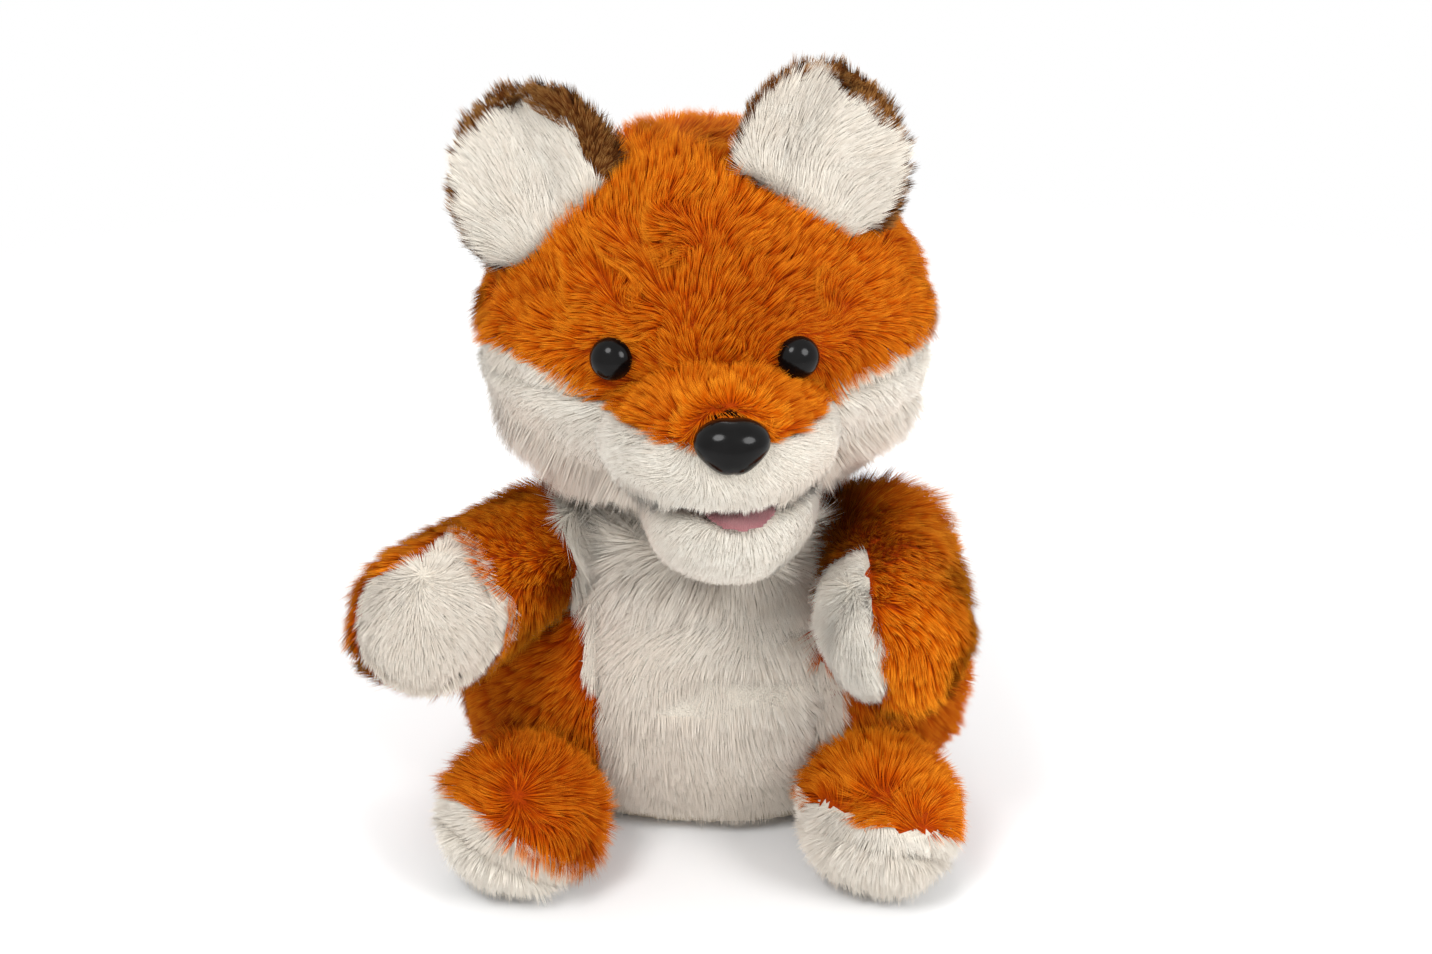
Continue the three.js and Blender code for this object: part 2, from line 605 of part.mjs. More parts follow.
/** Bends a point of the ear's frame forward at the rims and along the base line above the root. */
function cupped(p, shift) {
  const height = Math.max(p.z - EAR_ROOT_RADIUS, 0) / (EAR_RISE + EAR_HALF_HEIGHT);
  const share = Math.min(1, height / EAR_BEND_HEIGHT);
  p.y -= EAR_CUP * (p.x / EAR_HALF_WIDTH) ** 2 * share;
  p.x += shift * share;
}

/** The ear above its root, in its own frame: X along the base line, Z up the ear, -Y the front. */
function earBlade(grow, shift) {
  const blade = shaped(unitBall(EAR_SIDES, EAR_RINGS), (p) => {
    const thick = Math.sign(p.y) * Math.abs(p.y) ** EAR_FULLNESS * EAR_THICKNESS / 2;
    p.set(p.x * (EAR_HALF_WIDTH + grow), thick, p.z * (EAR_HALF_HEIGHT + grow) + EAR_RISE);
    cupped(p, shift);
  });
  return solid(blade);
}

/** Everything in front of the ear's middle surface moved back by a step, in the ear's frame. */
function earAhead(shift, step) {
  const [width, height] = [2 * (EAR_HALF_WIDTH + EAR_SPARE), 2 * (EAR_HALF_HEIGHT + EAR_SPARE)];
  const sheet = new THREE.BoxGeometry(width, width, height, EAR_CELLS, 1, EAR_CELLS)
    .translate(0, step - width / 2, EAR_RISE);
  return solid(shaped(sheet, (p) => cupped(p, shift)));
}


/** An ear's root, round about the line that the ear folds on. */
function earRoot(grow) {
  const round = new THREE.SphereGeometry(1, EAR_ROOT_SIDES, EAR_ROOT_RINGS).rotateZ(Math.PI / 2);
  const half = new THREE.Vector3(EAR_ROOT_HALF_LENGTH, EAR_ROOT_RADIUS, EAR_ROOT_RADIUS).addScalar(grow);
  return solid(shaped(round, (p) => p.multiply(half)));
}

/** Where an ear's base line lies on the head, and the turn of its frame. */
function earPlace(ear) {
  const base = onCrown(ear.x, ear.y);
  const lean = turnAbout(new THREE.Vector3(0, 1, 0), -ear.lean);
  const back = turnAbout(new THREE.Vector3(1, 0, 0), -EAR_BACK_LEAN);
  const turn = lean.multiply(back);
  const sink = new THREE.Vector3(0, 0, -EAR_SINK).applyQuaternion(turn);
  return { base: base.add(sink), turn };
}

/** An ear of a brown back and a cream front, cupped forward, clear of the head above its root. */
function buildEar(ear) {
  const { base, turn } = earPlace(ear);
  const shift = -Math.sign(ear.x) * EAR_SHIFT;
  const toEar = new THREE.Matrix4().compose(base, turn, new THREE.Vector3(1, 1, 1)).invert();
  const head = cranium(-EAR_CLEARANCE).transform(toEar.toArray());
  const form = (grow) => earBlade(grow, shift).subtract(head).add(earRoot(0));
  return assembly(
    base,
    turn,
    piece(`ear_${ear.side}_back`, whole(form(EAR_RIM).subtract(earAhead(shift, GAP / 2))), brownFur),
    piece(`ear_${ear.side}_front`, whole(form(0).intersect(earAhead(shift, -GAP / 2))), whiteFur),
  );
}

/** A plastic eye: a dome on a shank along -Z, and its washer. */
function eyeParts(side, face) {
  const points = [[0, -SHANK_LENGTH], [SHANK_RADIUS, -SHANK_LENGTH], [SHANK_RADIUS, 0], [EYE_RADIUS, 0]];
  for (let step = 1; step <= EYE_RINGS; step++) {
    const angle = step / EYE_RINGS * Math.PI / 2;
    points.push([step === EYE_RINGS ? 0 : EYE_RADIUS * Math.cos(angle), EYE_RISE * Math.sin(angle)]);
  }
  const turn = layAlong(face.normal);
  const seat = face.point.clone().addScaledVector(face.normal, GAP);
  return assembly(
    seat,
    turn,
    piece(`eye_${side}`, turned(points, EYE_SIDES), blackPlastic),
    piece(`eye_${side}_washer`, washer(), blackPlastic),
  );
}

/** A washer on a shank, its face against the inside of the cover. */
function washer(depth = FUR_CLOTH + 2 * GAP) {
  const inner = SHANK_RADIUS + GAP;
  const [top, bottom] = [-depth - GAP, -depth - GAP - WASHER_THICKNESS];
  const ring = [
    [inner, bottom], [WASHER_RADIUS, bottom], [WASHER_RADIUS, top], [inner, top], [inner, bottom],
  ];
  return turned(ring, SHANK_SIDES);
}

/** The hole that a shank and its washer need, along -Z from the surface. */
function shankHole(depth = FUR_CLOTH + 2 * GAP) {
  const [top, bottom] = [-depth, -depth - 2 * GAP - WASHER_THICKNESS];
  const [hole, seat] = [SHANK_RADIUS + GAP, WASHER_RADIUS + GAP];
  const end = -SHANK_LENGTH - GAP;
  return turned([
    [0, end], [hole, end], [hole, bottom], [seat, bottom],
    [seat, top], [hole, top], [hole, CUT_PAST], [0, CUT_PAST],
  ], SHANK_SIDES);
}

/** The room over an eye, which the muzzle's edge keeps clear of. */
function eyeRoom() {
  const [radius, low, high] = [EYE_RADIUS + GAP, GAP / 2, 2 * EYE_RISE];
  return turned([[0, low], [radius, low], [radius, high], [0, high]], EYE_SIDES);
}

/** The nose's place on the front of the muzzle. */
function nosePlace() {
  const lift = (NOSE_HEIGHT - MUZZLE_CENTRE.z) / MUZZLE_HALF.z;
  const y = MUZZLE_CENTRE.y - MUZZLE_HALF.y * Math.sqrt(1 - lift * lift);
  return { point: new THREE.Vector3(NOSE_X, y, NOSE_HEIGHT), normal: new THREE.Vector3(0, -1, 0) };
}

/** The nose: a rounded triangle seated on the muzzle, with its shank. */
function noseSolid() {
  const { point, normal } = nosePlace();
  const pad = shaped(unitBall(NOSE_SIDES, NOSE_RINGS), (p) => {
    const narrow = 1 - (p.z < 0 ? NOSE_NARROWING[0] * -p.z : NOSE_NARROWING[1] * p.z);
    p.set(p.x * NOSE_HALF.x * narrow, p.y * NOSE_HALF.y, p.z * NOSE_HALF.z).add(point);
    p.y -= NOSE_PROUD;
  });
  const turn = layAlong(normal);
  const stem = turned([
    [0, -SHANK_LENGTH], [SHANK_RADIUS, -SHANK_LENGTH], [SHANK_RADIUS, NOSE_PROUD], [0, NOSE_PROUD],
  ], EYE_SIDES);
  return solid(pad).subtract(muzzle(-GAP)).add(moved(stem, point, turn));
}

/** Head covers, filling, finger pocket, palate, nose, eyes and ears. */
function buildHead() {
  const inside = (inset) => cranium(inset).add(muzzle(inset));
  const room = jawRoom();
  const socket = ball(ORIGIN, headSocket, BAND_SIDES, BAND_RINGS);
  const faces = EYES.map((eye) => ({ ...eye, ...onFace(eye.x, EYE_HEIGHT) }));
  let holes = room.add(socket);
  for (const seat of [...faces, nosePlace()]) {
    holes = holes.add(moved(shankHole(), seat.point, layAlong(seat.normal)));
  }
  for (const face of faces) holes = holes.add(moved(eyeRoom(), face.point, layAlong(face.normal)));
  for (const ear of EARS) {
    const { base, turn } = earPlace(ear);
    holes = holes.add(moved(earRoot(SLIDE_GAP + GAP), base, turn));
  }
  const cover = inside(0).subtract(inside(FUR_CLOTH)).subtract(holes);
  const above = beyond(new THREE.Vector3(0, 0, COLOUR_LINE + GAP / 2), UP);
  const below = beyond(new THREE.Vector3(0, 0, COLOUR_LINE - GAP / 2), new THREE.Vector3(0, 0, -1));
  const behind = beyond(new THREE.Vector3(0, NAPE_Y + GAP / 2, 0), new THREE.Vector3(0, 1, 0));
  const before = beyond(new THREE.Vector3(0, NAPE_Y - GAP / 2, 0), new THREE.Vector3(0, -1, 0));
  const side = (sign) => {
    const seam = new THREE.Vector3(HEAD_X + sign * GAP / 2, 0, 0);
    return beyond(seam, new THREE.Vector3(sign, 0, 0));
  };
  const skull = cover.intersect(cranium(0));
  const snout = cover.subtract(cranium(-GAP));
  const lowSkull = skull.intersect(below);
  const palateTop = underMouthPlane(ROOF_SLOPE, SLIDE_GAP + MOUTH_LINING);
  const front = beyond(new THREE.Vector3(0, JAW_HINGE.y - GAP, 0), new THREE.Vector3(0, -1, 0));
  const palate = inside(FUR_CLOTH + GAP).intersect(palateTop).intersect(front).subtract(room);
  const filling = inside(FUR_CLOTH + GAP).subtract(holes)
    .subtract(front.intersect(underMouthPlane(ROOF_SLOPE, SLIDE_GAP + MOUTH_LINING + GAP)))
    .subtract(fingerPocket(LINING + GAP));
  const pocket = fingerPocket(LINING).subtract(fingerPocket(0))
    .subtract(ball(ORIGIN, headSocket + GAP, BAND_SIDES, BAND_RINGS)).subtract(jawRoomSlack());
  return [
    piece('crown_panel', skull.intersect(above), orangeFur),
    piece('cheek_panel_right', whole(lowSkull.intersect(before).intersect(side(-1))), whiteFur),
    piece('cheek_panel_left', whole(lowSkull.intersect(before).intersect(side(1))), whiteFur),
    piece('nape_panel', lowSkull.intersect(behind), orangeFur),
    piece('muzzle_bridge_panel', snout.intersect(above), orangeFur),
    piece('muzzle_lip_panel', snout.intersect(below), whiteFur),
    piece('head_filling', whole(filling), fibreFill),
    piece('finger_pocket', pocket, liningCloth),
    piece('palate_lining', palate, mouthCloth),
    piece('nose', noseSolid(), blackPlastic),
    assembly(nosePlace().point, layAlong(nosePlace().normal),
      piece('nose_washer', washer(), blackPlastic)),
    ...faces.map((face) => eyeParts(face.side, face)),
    ...EARS.map(buildEar),
  ];
}

/** A little more than the jaw's round room, for thin linings beside it. */
function jawRoomSlack() {
  return axle(JAW_HINGE, JAW_ROOT_RADIUS + SLIDE_GAP + GAP, JAW_ROOT_HALF_LENGTH + SLIDE_GAP + GAP);
}

/** The jaw: a rounded chin in front of the hinge and a round root about it. */
function jawForm(inset) {
  const front = beyond(new THREE.Vector3(0, JAW_HINGE.y, 0), new THREE.Vector3(0, -1, 0));
  const half = JAW_HALF.clone().subScalar(inset);
  const chin = ellipsoid(JAW_CENTRE, half, MUZZLE_SIDES, MUZZLE_RINGS).intersect(front);
  const root = axle(JAW_HINGE, JAW_ROOT_RADIUS - inset, JAW_ROOT_HALF_LENGTH - inset);
  const opened = new THREE.Vector3().sub(JAW_HINGE)
    .applyQuaternion(turnAbout(new THREE.Vector3(1, 0, 0), -JAW_OPENING)).add(JAW_HINGE);
  return chin.subtract(ball(opened, headSocket + 2 * SLIDE_GAP + inset)).add(root);
}

/** Chin cover, filling, mouth floor, tongue and thumb pocket. */
function buildJaw() {
  const open = (drop) => {
    const angle = radians(FLOOR_SLOPE);
    const start = new THREE.Vector3(0, JAW_HINGE.y, JAW_HINGE.z + JAW_ROOT_RADIUS - drop);
    const front = beyond(new THREE.Vector3(0, JAW_HINGE.y, 0), new THREE.Vector3(0, -1, 0));
    return beyond(start, new THREE.Vector3(0, -Math.sin(angle), Math.cos(angle))).intersect(front);
  };
  const pocketHole = thumbPocket(LINING + GAP);
  const chin = jawForm(0).subtract(jawForm(FUR_CLOTH)).subtract(open(0)).subtract(pocketHole);
  const core = jawForm(FUR_CLOTH + GAP);
  const floor = core.subtract(open(0)).intersect(open(MOUTH_LINING));
  const filling = core.subtract(open(MOUTH_LINING + GAP)).subtract(pocketHole);
  const rootRound = axle(JAW_HINGE, JAW_ROOT_RADIUS, JAW_ROOT_HALF_LENGTH);
  const jawAll = beyond(JAW_HINGE, new THREE.Vector3(0, -1, 0)).add(rootRound);
  const pocket = thumbPocket(LINING).subtract(thumbPocket(0, CUT_PAST)).intersect(jawAll);
  const tilt = turnAbout(new THREE.Vector3(1, 0, 0), FLOOR_SLOPE);
  const rise = JAW_ROOT_RADIUS * Math.cos(radians(FLOOR_SLOPE)) + GAP + TONGUE_HALF.z;
  const tongue = ellipsoid(new THREE.Vector3(0, -TONGUE_REACH, rise), TONGUE_HALF, LIMB_SIDES, TONGUE_RINGS);
  return [
    piece('chin_panel', chin, whiteFur),
    piece('jaw_filling', filling, fibreFill),
    piece('mouth_floor_lining', floor, mouthCloth),
    piece('thumb_pocket', pocket, liningCloth),
    piece('tongue', moved(tongue, JAW_HINGE, tilt), tongueCloth),
  ];
}

/** The neck's two collars and the head that turns, nods and tilts on them. */
function buildNeck() {
  const collar = (inner) => roundBand(inner, inner + COLLAR_WALL, COLLAR_BOTTOM, NECK_TOP);
  const head = assembly(ORIGIN, still, ...buildHead(), ...buildJaw());
  const nodding = assembly(ORIGIN, turnAbout(new THREE.Vector3(1, 0, 0), HEAD_NOD),
    piece('neck_outer_collar', collar(outerCollar), liningCloth), head);
  return assembly(NECK, turnAbout(UP, HEAD_TURN),
    piece('neck_inner_collar', collar(innerCollar), liningCloth), nodding);
}

/** A shoulder gusset and the arm in it. */
function buildArm(arm) {
  const form = (inset) => limb(ARM_ROOT_RADIUS, PAW_RADIUS, ARM_LENGTH, inset);
  const turn = layAlong(arm.along);
  const palm = arm.palm.clone().normalize().applyQuaternion(turn.clone().invert());
  const centre = new THREE.Vector3(0, 0, ARM_LENGTH).addScaledVector(palm, PAW_RADIUS);
  const shell = form(0).subtract(form(FUR_CLOTH));
  const patch = (grow) => ball(centre, PALM_RADIUS + grow, LIMB_SIDES, LIMB_END_STEPS * 2);
  const gusset = cup(gussetInner(ARM_ROOT_RADIUS), gussetOuter(ARM_ROOT_RADIUS), GUSSET_HALF_ANGLE);
  return assembly(
    shoulder(arm),
    turn,
    piece(`arm_${arm.side}_gusset`, gusset, orangeFur),
    piece(`arm_${arm.side}_sleeve`, shell.subtract(patch(GAP / 2)), orangeFur),
    piece(`arm_${arm.side}_palm`, shell.intersect(patch(-GAP / 2)), whiteFur),
    piece(`arm_${arm.side}_filling`, form(FUR_CLOTH + GAP), fibreFill),
  );
}

const footMiddle = (leg) => FOOT_OFFSET.clone().setX(leg.sign * FOOT_OFFSET.x);

/** A foot as a whole ellipsoid, about its hip. */
function footForm(leg, inset) {
  return ellipsoid(footMiddle(leg), FOOT_HALF.clone().subScalar(inset), FOOT_SIDES, FOOT_RINGS);
}

/** A leg about its hip: a short round root and the foot, flat where it stands. */
function legForm(leg, inset) {
  return footForm(leg, inset).add(ball(ORIGIN, HIP_RADIUS - inset, FOOT_SIDES, FOOT_RINGS))
    .intersect(beyond(new THREE.Vector3(0, 0, inset - HIP.z), UP));
}

/** A leg's cover, sole and filling. */
function buildLeg(leg) {
  const shell = legForm(leg, 0).subtract(legForm(leg, FUR_CLOTH));
  const centre = footMiddle(leg);
  const normal = leg.sole.clone().normalize();
  const sole = (rise) => beyond(centre.clone().addScaledVector(normal, rise), normal);
  const seam = centre.clone().addScaledVector(normal, leg.soleRise - GAP / 2);
  const upper = beyond(seam, normal.clone().negate());
  return assembly(
    hip(leg),
    still,
    piece(`leg_${leg.side}_cover`, shell.intersect(upper), orangeFur),
    piece(`leg_${leg.side}_sole`, shell.intersect(sole(leg.soleRise + GAP / 2)), whiteFur),
    piece(`leg_${leg.side}_filling`, legForm(leg, FUR_CLOTH + GAP), fibreFill),
  );
}

/** The tail's gusset, cover, white tip and filling. */
function buildTail() {
  const form = (inset) => limb(TAIL_ROOT_RADIUS, TAIL_RADIUS, TAIL_LENGTH, inset);
  const turn = layAlong(TAIL_ALONG);
  const shell = form(0).subtract(form(FUR_CLOTH));
  const tip = (height, sign) => beyond(new THREE.Vector3(0, 0, height), new THREE.Vector3(0, 0, sign));
  const gusset = cup(gussetInner(TAIL_ROOT_RADIUS), gussetOuter(TAIL_ROOT_RADIUS), GUSSET_HALF_ANGLE);
  return assembly(
    TAIL_ROOT,
    turn,
    piece('tail_gusset', gusset, orangeFur),
    piece('tail_cover', shell.intersect(tip(TAIL_TIP_START - GAP / 2, -1)), orangeFur),
    piece('tail_tip', shell.intersect(tip(TAIL_TIP_START + GAP / 2, 1)), whiteFur),
    piece('tail_filling', form(FUR_CLOTH + GAP), fibreFill),
  );
}

const puppet = assembly(
  ORIGIN,
  still,
  ...buildBody(),
  buildNeck(),
  ...ARMS.map(buildArm),
  ...LEGS.map(buildLeg),
  buildTail(),
);
puppet.updateMatrixWorld(true);
const extent = new THREE.Box3().setFromObject(puppet, true);
puppet.position.set(-(extent.min.x + extent.max.x) / 2, -(extent.min.y + extent.max.y) / 2, -extent.min.z);

export default puppet;
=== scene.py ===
"""Dresses a fox hand puppet: fur fabric with real pile, glossy eyes and nose, cloth mouth and linings.

Sizes are millimetres, in the frame in which the puppet's neck stands at NECK_AT. Points are in metres.
"""

import json
import logging
import math
from dataclasses import dataclass, field, replace
from enum import Enum
from typing import Callable, Optional, Sequence, Union

import bpy
import numpy as np
from mathutils import Matrix, Vector
from mathutils.bvhtree import BVHTree
from mathutils.kdtree import KDTree

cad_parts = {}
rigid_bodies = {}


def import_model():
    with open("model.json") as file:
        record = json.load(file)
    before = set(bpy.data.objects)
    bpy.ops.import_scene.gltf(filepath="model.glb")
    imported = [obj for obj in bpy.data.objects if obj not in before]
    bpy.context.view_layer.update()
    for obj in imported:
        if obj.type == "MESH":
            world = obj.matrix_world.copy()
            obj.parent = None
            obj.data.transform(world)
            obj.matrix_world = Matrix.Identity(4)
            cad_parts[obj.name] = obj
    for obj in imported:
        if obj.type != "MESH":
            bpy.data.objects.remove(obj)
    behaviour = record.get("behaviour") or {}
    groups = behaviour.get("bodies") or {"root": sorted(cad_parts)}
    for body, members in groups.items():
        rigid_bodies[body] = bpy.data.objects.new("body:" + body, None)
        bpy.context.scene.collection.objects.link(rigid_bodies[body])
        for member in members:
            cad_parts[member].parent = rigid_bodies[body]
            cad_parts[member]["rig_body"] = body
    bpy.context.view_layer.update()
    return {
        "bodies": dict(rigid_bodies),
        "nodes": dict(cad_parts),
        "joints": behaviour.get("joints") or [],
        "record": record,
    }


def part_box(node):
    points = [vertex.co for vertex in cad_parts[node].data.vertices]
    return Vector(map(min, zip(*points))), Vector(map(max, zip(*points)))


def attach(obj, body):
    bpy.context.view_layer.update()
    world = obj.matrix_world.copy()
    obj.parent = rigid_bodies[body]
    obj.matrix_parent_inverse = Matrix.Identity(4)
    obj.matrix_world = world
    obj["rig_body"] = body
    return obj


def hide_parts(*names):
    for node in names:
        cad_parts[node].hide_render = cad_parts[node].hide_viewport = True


logging.basicConfig(level=logging.INFO, format="%(message)s")
log = logging.getLogger("puppet")

MM = 0.001
NECK_AT = (4.0, 8.0)  # the neck's middle, seen from above
DOWN = np.array([0.0, 0.0, -1.0])
ASIDE = np.array([[1.0, 0.0, 0.0]])

PILE_MAP = "OFBake"  # the strands' map: across is the shade, up is root to tip
STRANDS_TO_A_PIECE = 64000
FEWEST_STRANDS = 10
OPEN = 1.6  # room from which a face grows fur
FAR = 40.0  # how far a point of the cloth looks outwards
PRESSURE, SWELL_FRAMES = 25.0, 20  # how the filling pushes the panels out

PHOTO = (1432, 954)  # the photograph's frame, in pixels
SENSOR = 36.0

Colour = tuple[float, float, float]
Points = np.ndarray
Link = Union["Value", float, int, tuple]


class Side(Enum):
    """A side of the puppet."""

    RIGHT = "right"
    LEFT = "left"

    @property
    def out(self) -> float:
        """Which way along x leads away from the puppet's middle."""
        return -1.0 if self is Side.RIGHT else 1.0

    def seed(self, first: int) -> int:
        """A paired part's first seed, given the right one's."""
        return first if self is Side.RIGHT else first + 5


# Shading


def srgb(code: str) -> Colour:
    """A colour written as six hex digits, in linear light."""
    parts = [int(code[i:i + 2], 16) / 255 for i in (0, 2, 4)]
    return tuple(p / 12.92 if p <= 0.04045 else ((p + 0.055) / 1.055) ** 2.4 for p in parts)


class Value:
    """A socket that carries a number, which can be added and multiplied in an expression."""

    def __init__(self, shading: "Shading", socket: bpy.types.NodeSocket) -> None:
        """Wraps the socket of a node that belongs to the shading."""
        self.shading, self.socket = shading, socket

    def _math(self, operation: str, *terms: Link) -> "Value":
        """One Math node over the terms."""
        return self.shading.node("ShaderNodeMath", dict(enumerate(terms)), operation=operation)

    def __add__(self, other: Link) -> "Value":
        """Sum."""
        return self._math("ADD", self, other)

    def __mul__(self, other: Link) -> "Value":
        """Product."""
        return self._math("MULTIPLY", self, other)

    __radd__, __rmul__ = __add__, __mul__

    def sine(self) -> "Value":
        """Sine."""
        return self._math("SINE", self)


class Shading:
    """A material's nodes, made one call at a time."""

    def __init__(self, name: str) -> None:
        """Starts a material that has only its shader and output.

        Args:
            name: The material's name.
        """
        self.material = bpy.data.materials.new(name)
        self.material.use_nodes = True
        self.nodes = self.material.node_tree.nodes
        self.nodes.clear()
        output = self.nodes.new("ShaderNodeOutputMaterial")
        self.shader = self.nodes.new("ShaderNodeBsdfPrincipled")
        self.material.node_tree.links.new(self.shader.outputs["BSDF"], output.inputs["Surface"])

    def feed(self, socket: bpy.types.NodeSocket, value: Link) -> None:
        """Sets a socket, or links it where the value comes from a node.

        Args:
            socket: The input to set.
            value: A number, a colour or vector, or a wrapped socket.
        """
        if isinstance(value, Value):
            self.material.node_tree.links.new(value.socket, socket)
        elif isinstance(value, tuple) and socket.type == "RGBA":
            socket.default_value = (*value[:3], 1.0)
        else:
            socket.default_value = value

    def node(self, kind: str, inputs: dict, output: Union[int, str] = 0, **settings: object) -> Value:
        """Adds one node.

        Args:
            kind: The node's type name.
            inputs: Values or links by the socket's name or number.
            output: The output to hand back.
            **settings: The node's settings, of which ramp holds a colour ramp's stops.

        Returns:
            The wrapped output.
        """
        made = self.nodes.new(kind)
        for key, value in settings.items():
            if key == "ramp":
                self._stops(made.color_ramp, value)
            else:
                setattr(made, key, value)
        for key, value in inputs.items():
            self.feed(made.inputs[key], value)
        return Value(self, made.outputs[output])

    @staticmethod
    def _stops(ramp: bpy.types.ColorRamp, stops: Sequence[tuple[float, Colour]]) -> None:
        """Sets a ramp's stops.

        Args:
            ramp: The ramp.
            stops: Each stop's place and colour.
        """
        while len(ramp.elements) < len(stops):
            ramp.elements.new(1.0)
        for element, (place, colour) in zip(ramp.elements, stops):
            element.position, element.color = place, (*colour, 1.0)

    def place(self) -> Value:
        """Object coordinates, in metres."""
        return self.node("ShaderNodeTexCoord", {}, "Object")

    def parts(self, vector: Link) -> tuple[Value, ...]:
        """The three parts of a vector."""
        split = self.node("ShaderNodeSeparateXYZ", {"Vector": vector})
        return tuple(Value(self, split.socket.node.outputs[axis]) for axis in "XYZ")

    def noise(self, size: float, detail: float = 2.0, roughness: float = 0.5) -> Value:
        """Soft noise whose lumps are about that many millimetres across."""
        sockets = {"Scale": 1 / (size * MM), "Detail": detail, "Roughness": roughness}
        return self.node("ShaderNodeTexNoise", {"Vector": self.place(), **sockets})

    def between(
        self, value: Link, low: float, high: float, to_low: float = 0.0, to_high: float = 1.0,
    ) -> Value:
        """A value moved from one range to another, and kept in it."""
        sockets = {"From Min": low, "From Max": high, "To Min": to_low, "To Max": to_high}
        return self.node("ShaderNodeMapRange", {"Value": value, **sockets})

    def mix(self, factor: Link, first: Link, second: Link, blend: str = "MIX") -> Value:
        """Mixes two colours.

        Args:
            factor: How much of the second.
            first: The first colour.
            second: The second colour.
            blend: How they mix.

        Returns:
            The colour.
        """
        made = self.nodes.new("ShaderNodeMix")
        made.data_type, made.blend_type = "RGBA", blend
        colours = [s for s in made.inputs if s.type == "RGBA"]
        for socket, value in zip((made.inputs[0], *colours), (factor, first, second)):
            self.feed(socket, value)
        return Value(self, next(s for s in made.outputs if s.type == "RGBA"))

    def bump(self, height: Link, depth: float) -> Value:
        """A normal from a height, whose full swing is that many millimetres."""
        return self.node("ShaderNodeBump", {"Height": height, "Distance": depth * MM, "Strength": 1.0})

    def close(self, **sockets: Link) -> bpy.types.Material:
        """Sets the shader's sockets.

        Args:
            **sockets: Values or links by the socket's name, written with _ for a space.

        Returns:
            The material.
        """
        for key, value in sockets.items():
            self.feed(self.shader.inputs[key.replace("_", " ")], value)
        return self.material


@dataclass(frozen=True)
class FurFinish:
    """Fur fabric: dense pile whose strands are darker at the root, on a knitted backing; the dark roots are
    partly the fabric's own colour and partly painted shade deep in the pile.
    """

    slot: str
    root: Colour
    middle: Colour
    tip: Colour
    sheen: float = 0.0
    gloss: float = 0.12
    contrast: float = 0.2  # how much lighter and darker than the colour single strands are
    warmth: float = 0.0  # how much redder the darker strands are, painted shade from the pile's tone included
    under: float = 1.0  # how bright the cloth is beside the strands: below 1 it is painted shade at the foot of the pile

    def strands(self) -> bpy.types.Material:
        """The pile's material, coloured from root to tip, with roots darker partly as painted shade, and by
        each strand's own shade.

        Returns:
            The material.
        """
        s = Shading(f"{self.slot}_pile")
        shade, along, _ = s.parts(s.node("ShaderNodeUVMap", {}, uv_map=PILE_MAP))
        swings = [self.contrast * (1 + self.warmth * turn) for turn in (0, 1, 1.6)]
        tints = (s.between(shade, 0.0, 1.0, 1 - 1.2 * swing, 1 + 0.8 * swing) for swing in swings)
        tint = s.node("ShaderNodeCombineColor", dict(zip(("Red", "Green", "Blue"), tints)))
        stops = [(0.0, self.root), (0.5, self.middle), (1.0, self.tip)]
        colour = s.node("ShaderNodeValToRGB", {"Fac": along}, ramp=stops)
        return s.close(
            Base_Color=s.mix(1.0, colour, tint, "MULTIPLY"),
            Roughness=0.75, Specular_IOR_Level=self.gloss,
            Sheen_Weight=self.sheen, Sheen_Roughness=0.5,
        )

    def backing(self) -> bpy.types.Material:
        """The knitted cloth and underfur that show between the strands, darkened by under as painted shade
        at the foot of the pile.

        Returns:
            The material.
        """
        s = Shading(f"{self.slot}_backing")
        tone, fine = s.noise(2.2, 4.0, 0.6), s.noise(0.7)
        dark = tuple(self.under * r for r in self.root)
        shaded = tuple(self.under * (0.55 * r + 0.45 * m) for r, m in zip(self.root, self.middle))
        return s.close(
            Base_Color=s.mix(s.between(tone, 0.3, 0.7), dark, shaded),
            Roughness=0.95, Specular_IOR_Level=0.1,
            Normal=s.bump(fine + tone, 0.8),
        )


@dataclass(frozen=True)
class ClothFinish:
    """Woven or brushed cloth with a fine weave and some uneven colour."""

    slot: str
    colour: Colour
    shadow: Colour
    weave: float = 0.5
    depth: float = 0.12
    sheen: float = 0.3

    def material(self) -> bpy.types.Material:
        """The cloth's material.

        Returns:
            The material.
        """
        s = Shading(self.slot)
        across, deep, up = s.parts(s.place())
        turns = 2 * math.pi / (self.weave * MM)
        warp, weft = ((across + deep) * turns).sine(), ((up + deep * 0.35) * turns).sine()
        threads = warp * weft * 0.5 + 0.5
        patches, nap = s.noise(14.0, 3.0), s.noise(0.6)
        soft = s.mix(s.between(patches, 0.35, 0.7), self.colour, self.shadow)
        return s.close(
            Base_Color=s.mix(threads * 0.25 + nap * 0.25, soft, self.shadow),
            Roughness=s.between(nap, 0.3, 0.7, 0.82, 0.98), Specular_IOR_Level=0.2,
            Sheen_Weight=self.sheen,
            Normal=s.bump(threads + nap, self.depth),
        )


@dataclass(frozen=True)
class PlasticFinish:
    """Glossy moulded plastic with faint moulding ripple and fine handling marks."""

    slot: str
    colour: Colour
    roughness: float = 0.12
    coat: float = 0.02

    def material(self) -> bpy.types.Material:
        """The plastic's material.

        Returns:
            The material.
        """
        s = Shading(self.slot)
        ripple, marks = s.noise(6.0), s.noise(0.8, 4.0, 0.7)
        lighter = tuple(c * 1.4 + 0.001 for c in self.colour)
        return s.close(
            Base_Color=s.mix(s.between(ripple, 0.4, 0.7), self.colour, lighter),
            Roughness=s.between(marks, 0.35, 0.75, self.roughness, self.roughness + 0.1),
            Specular_IOR_Level=0.16, Coat_Weight=self.coat, Coat_Roughness=0.05,
            Normal=s.bump(ripple, 0.05),
        )


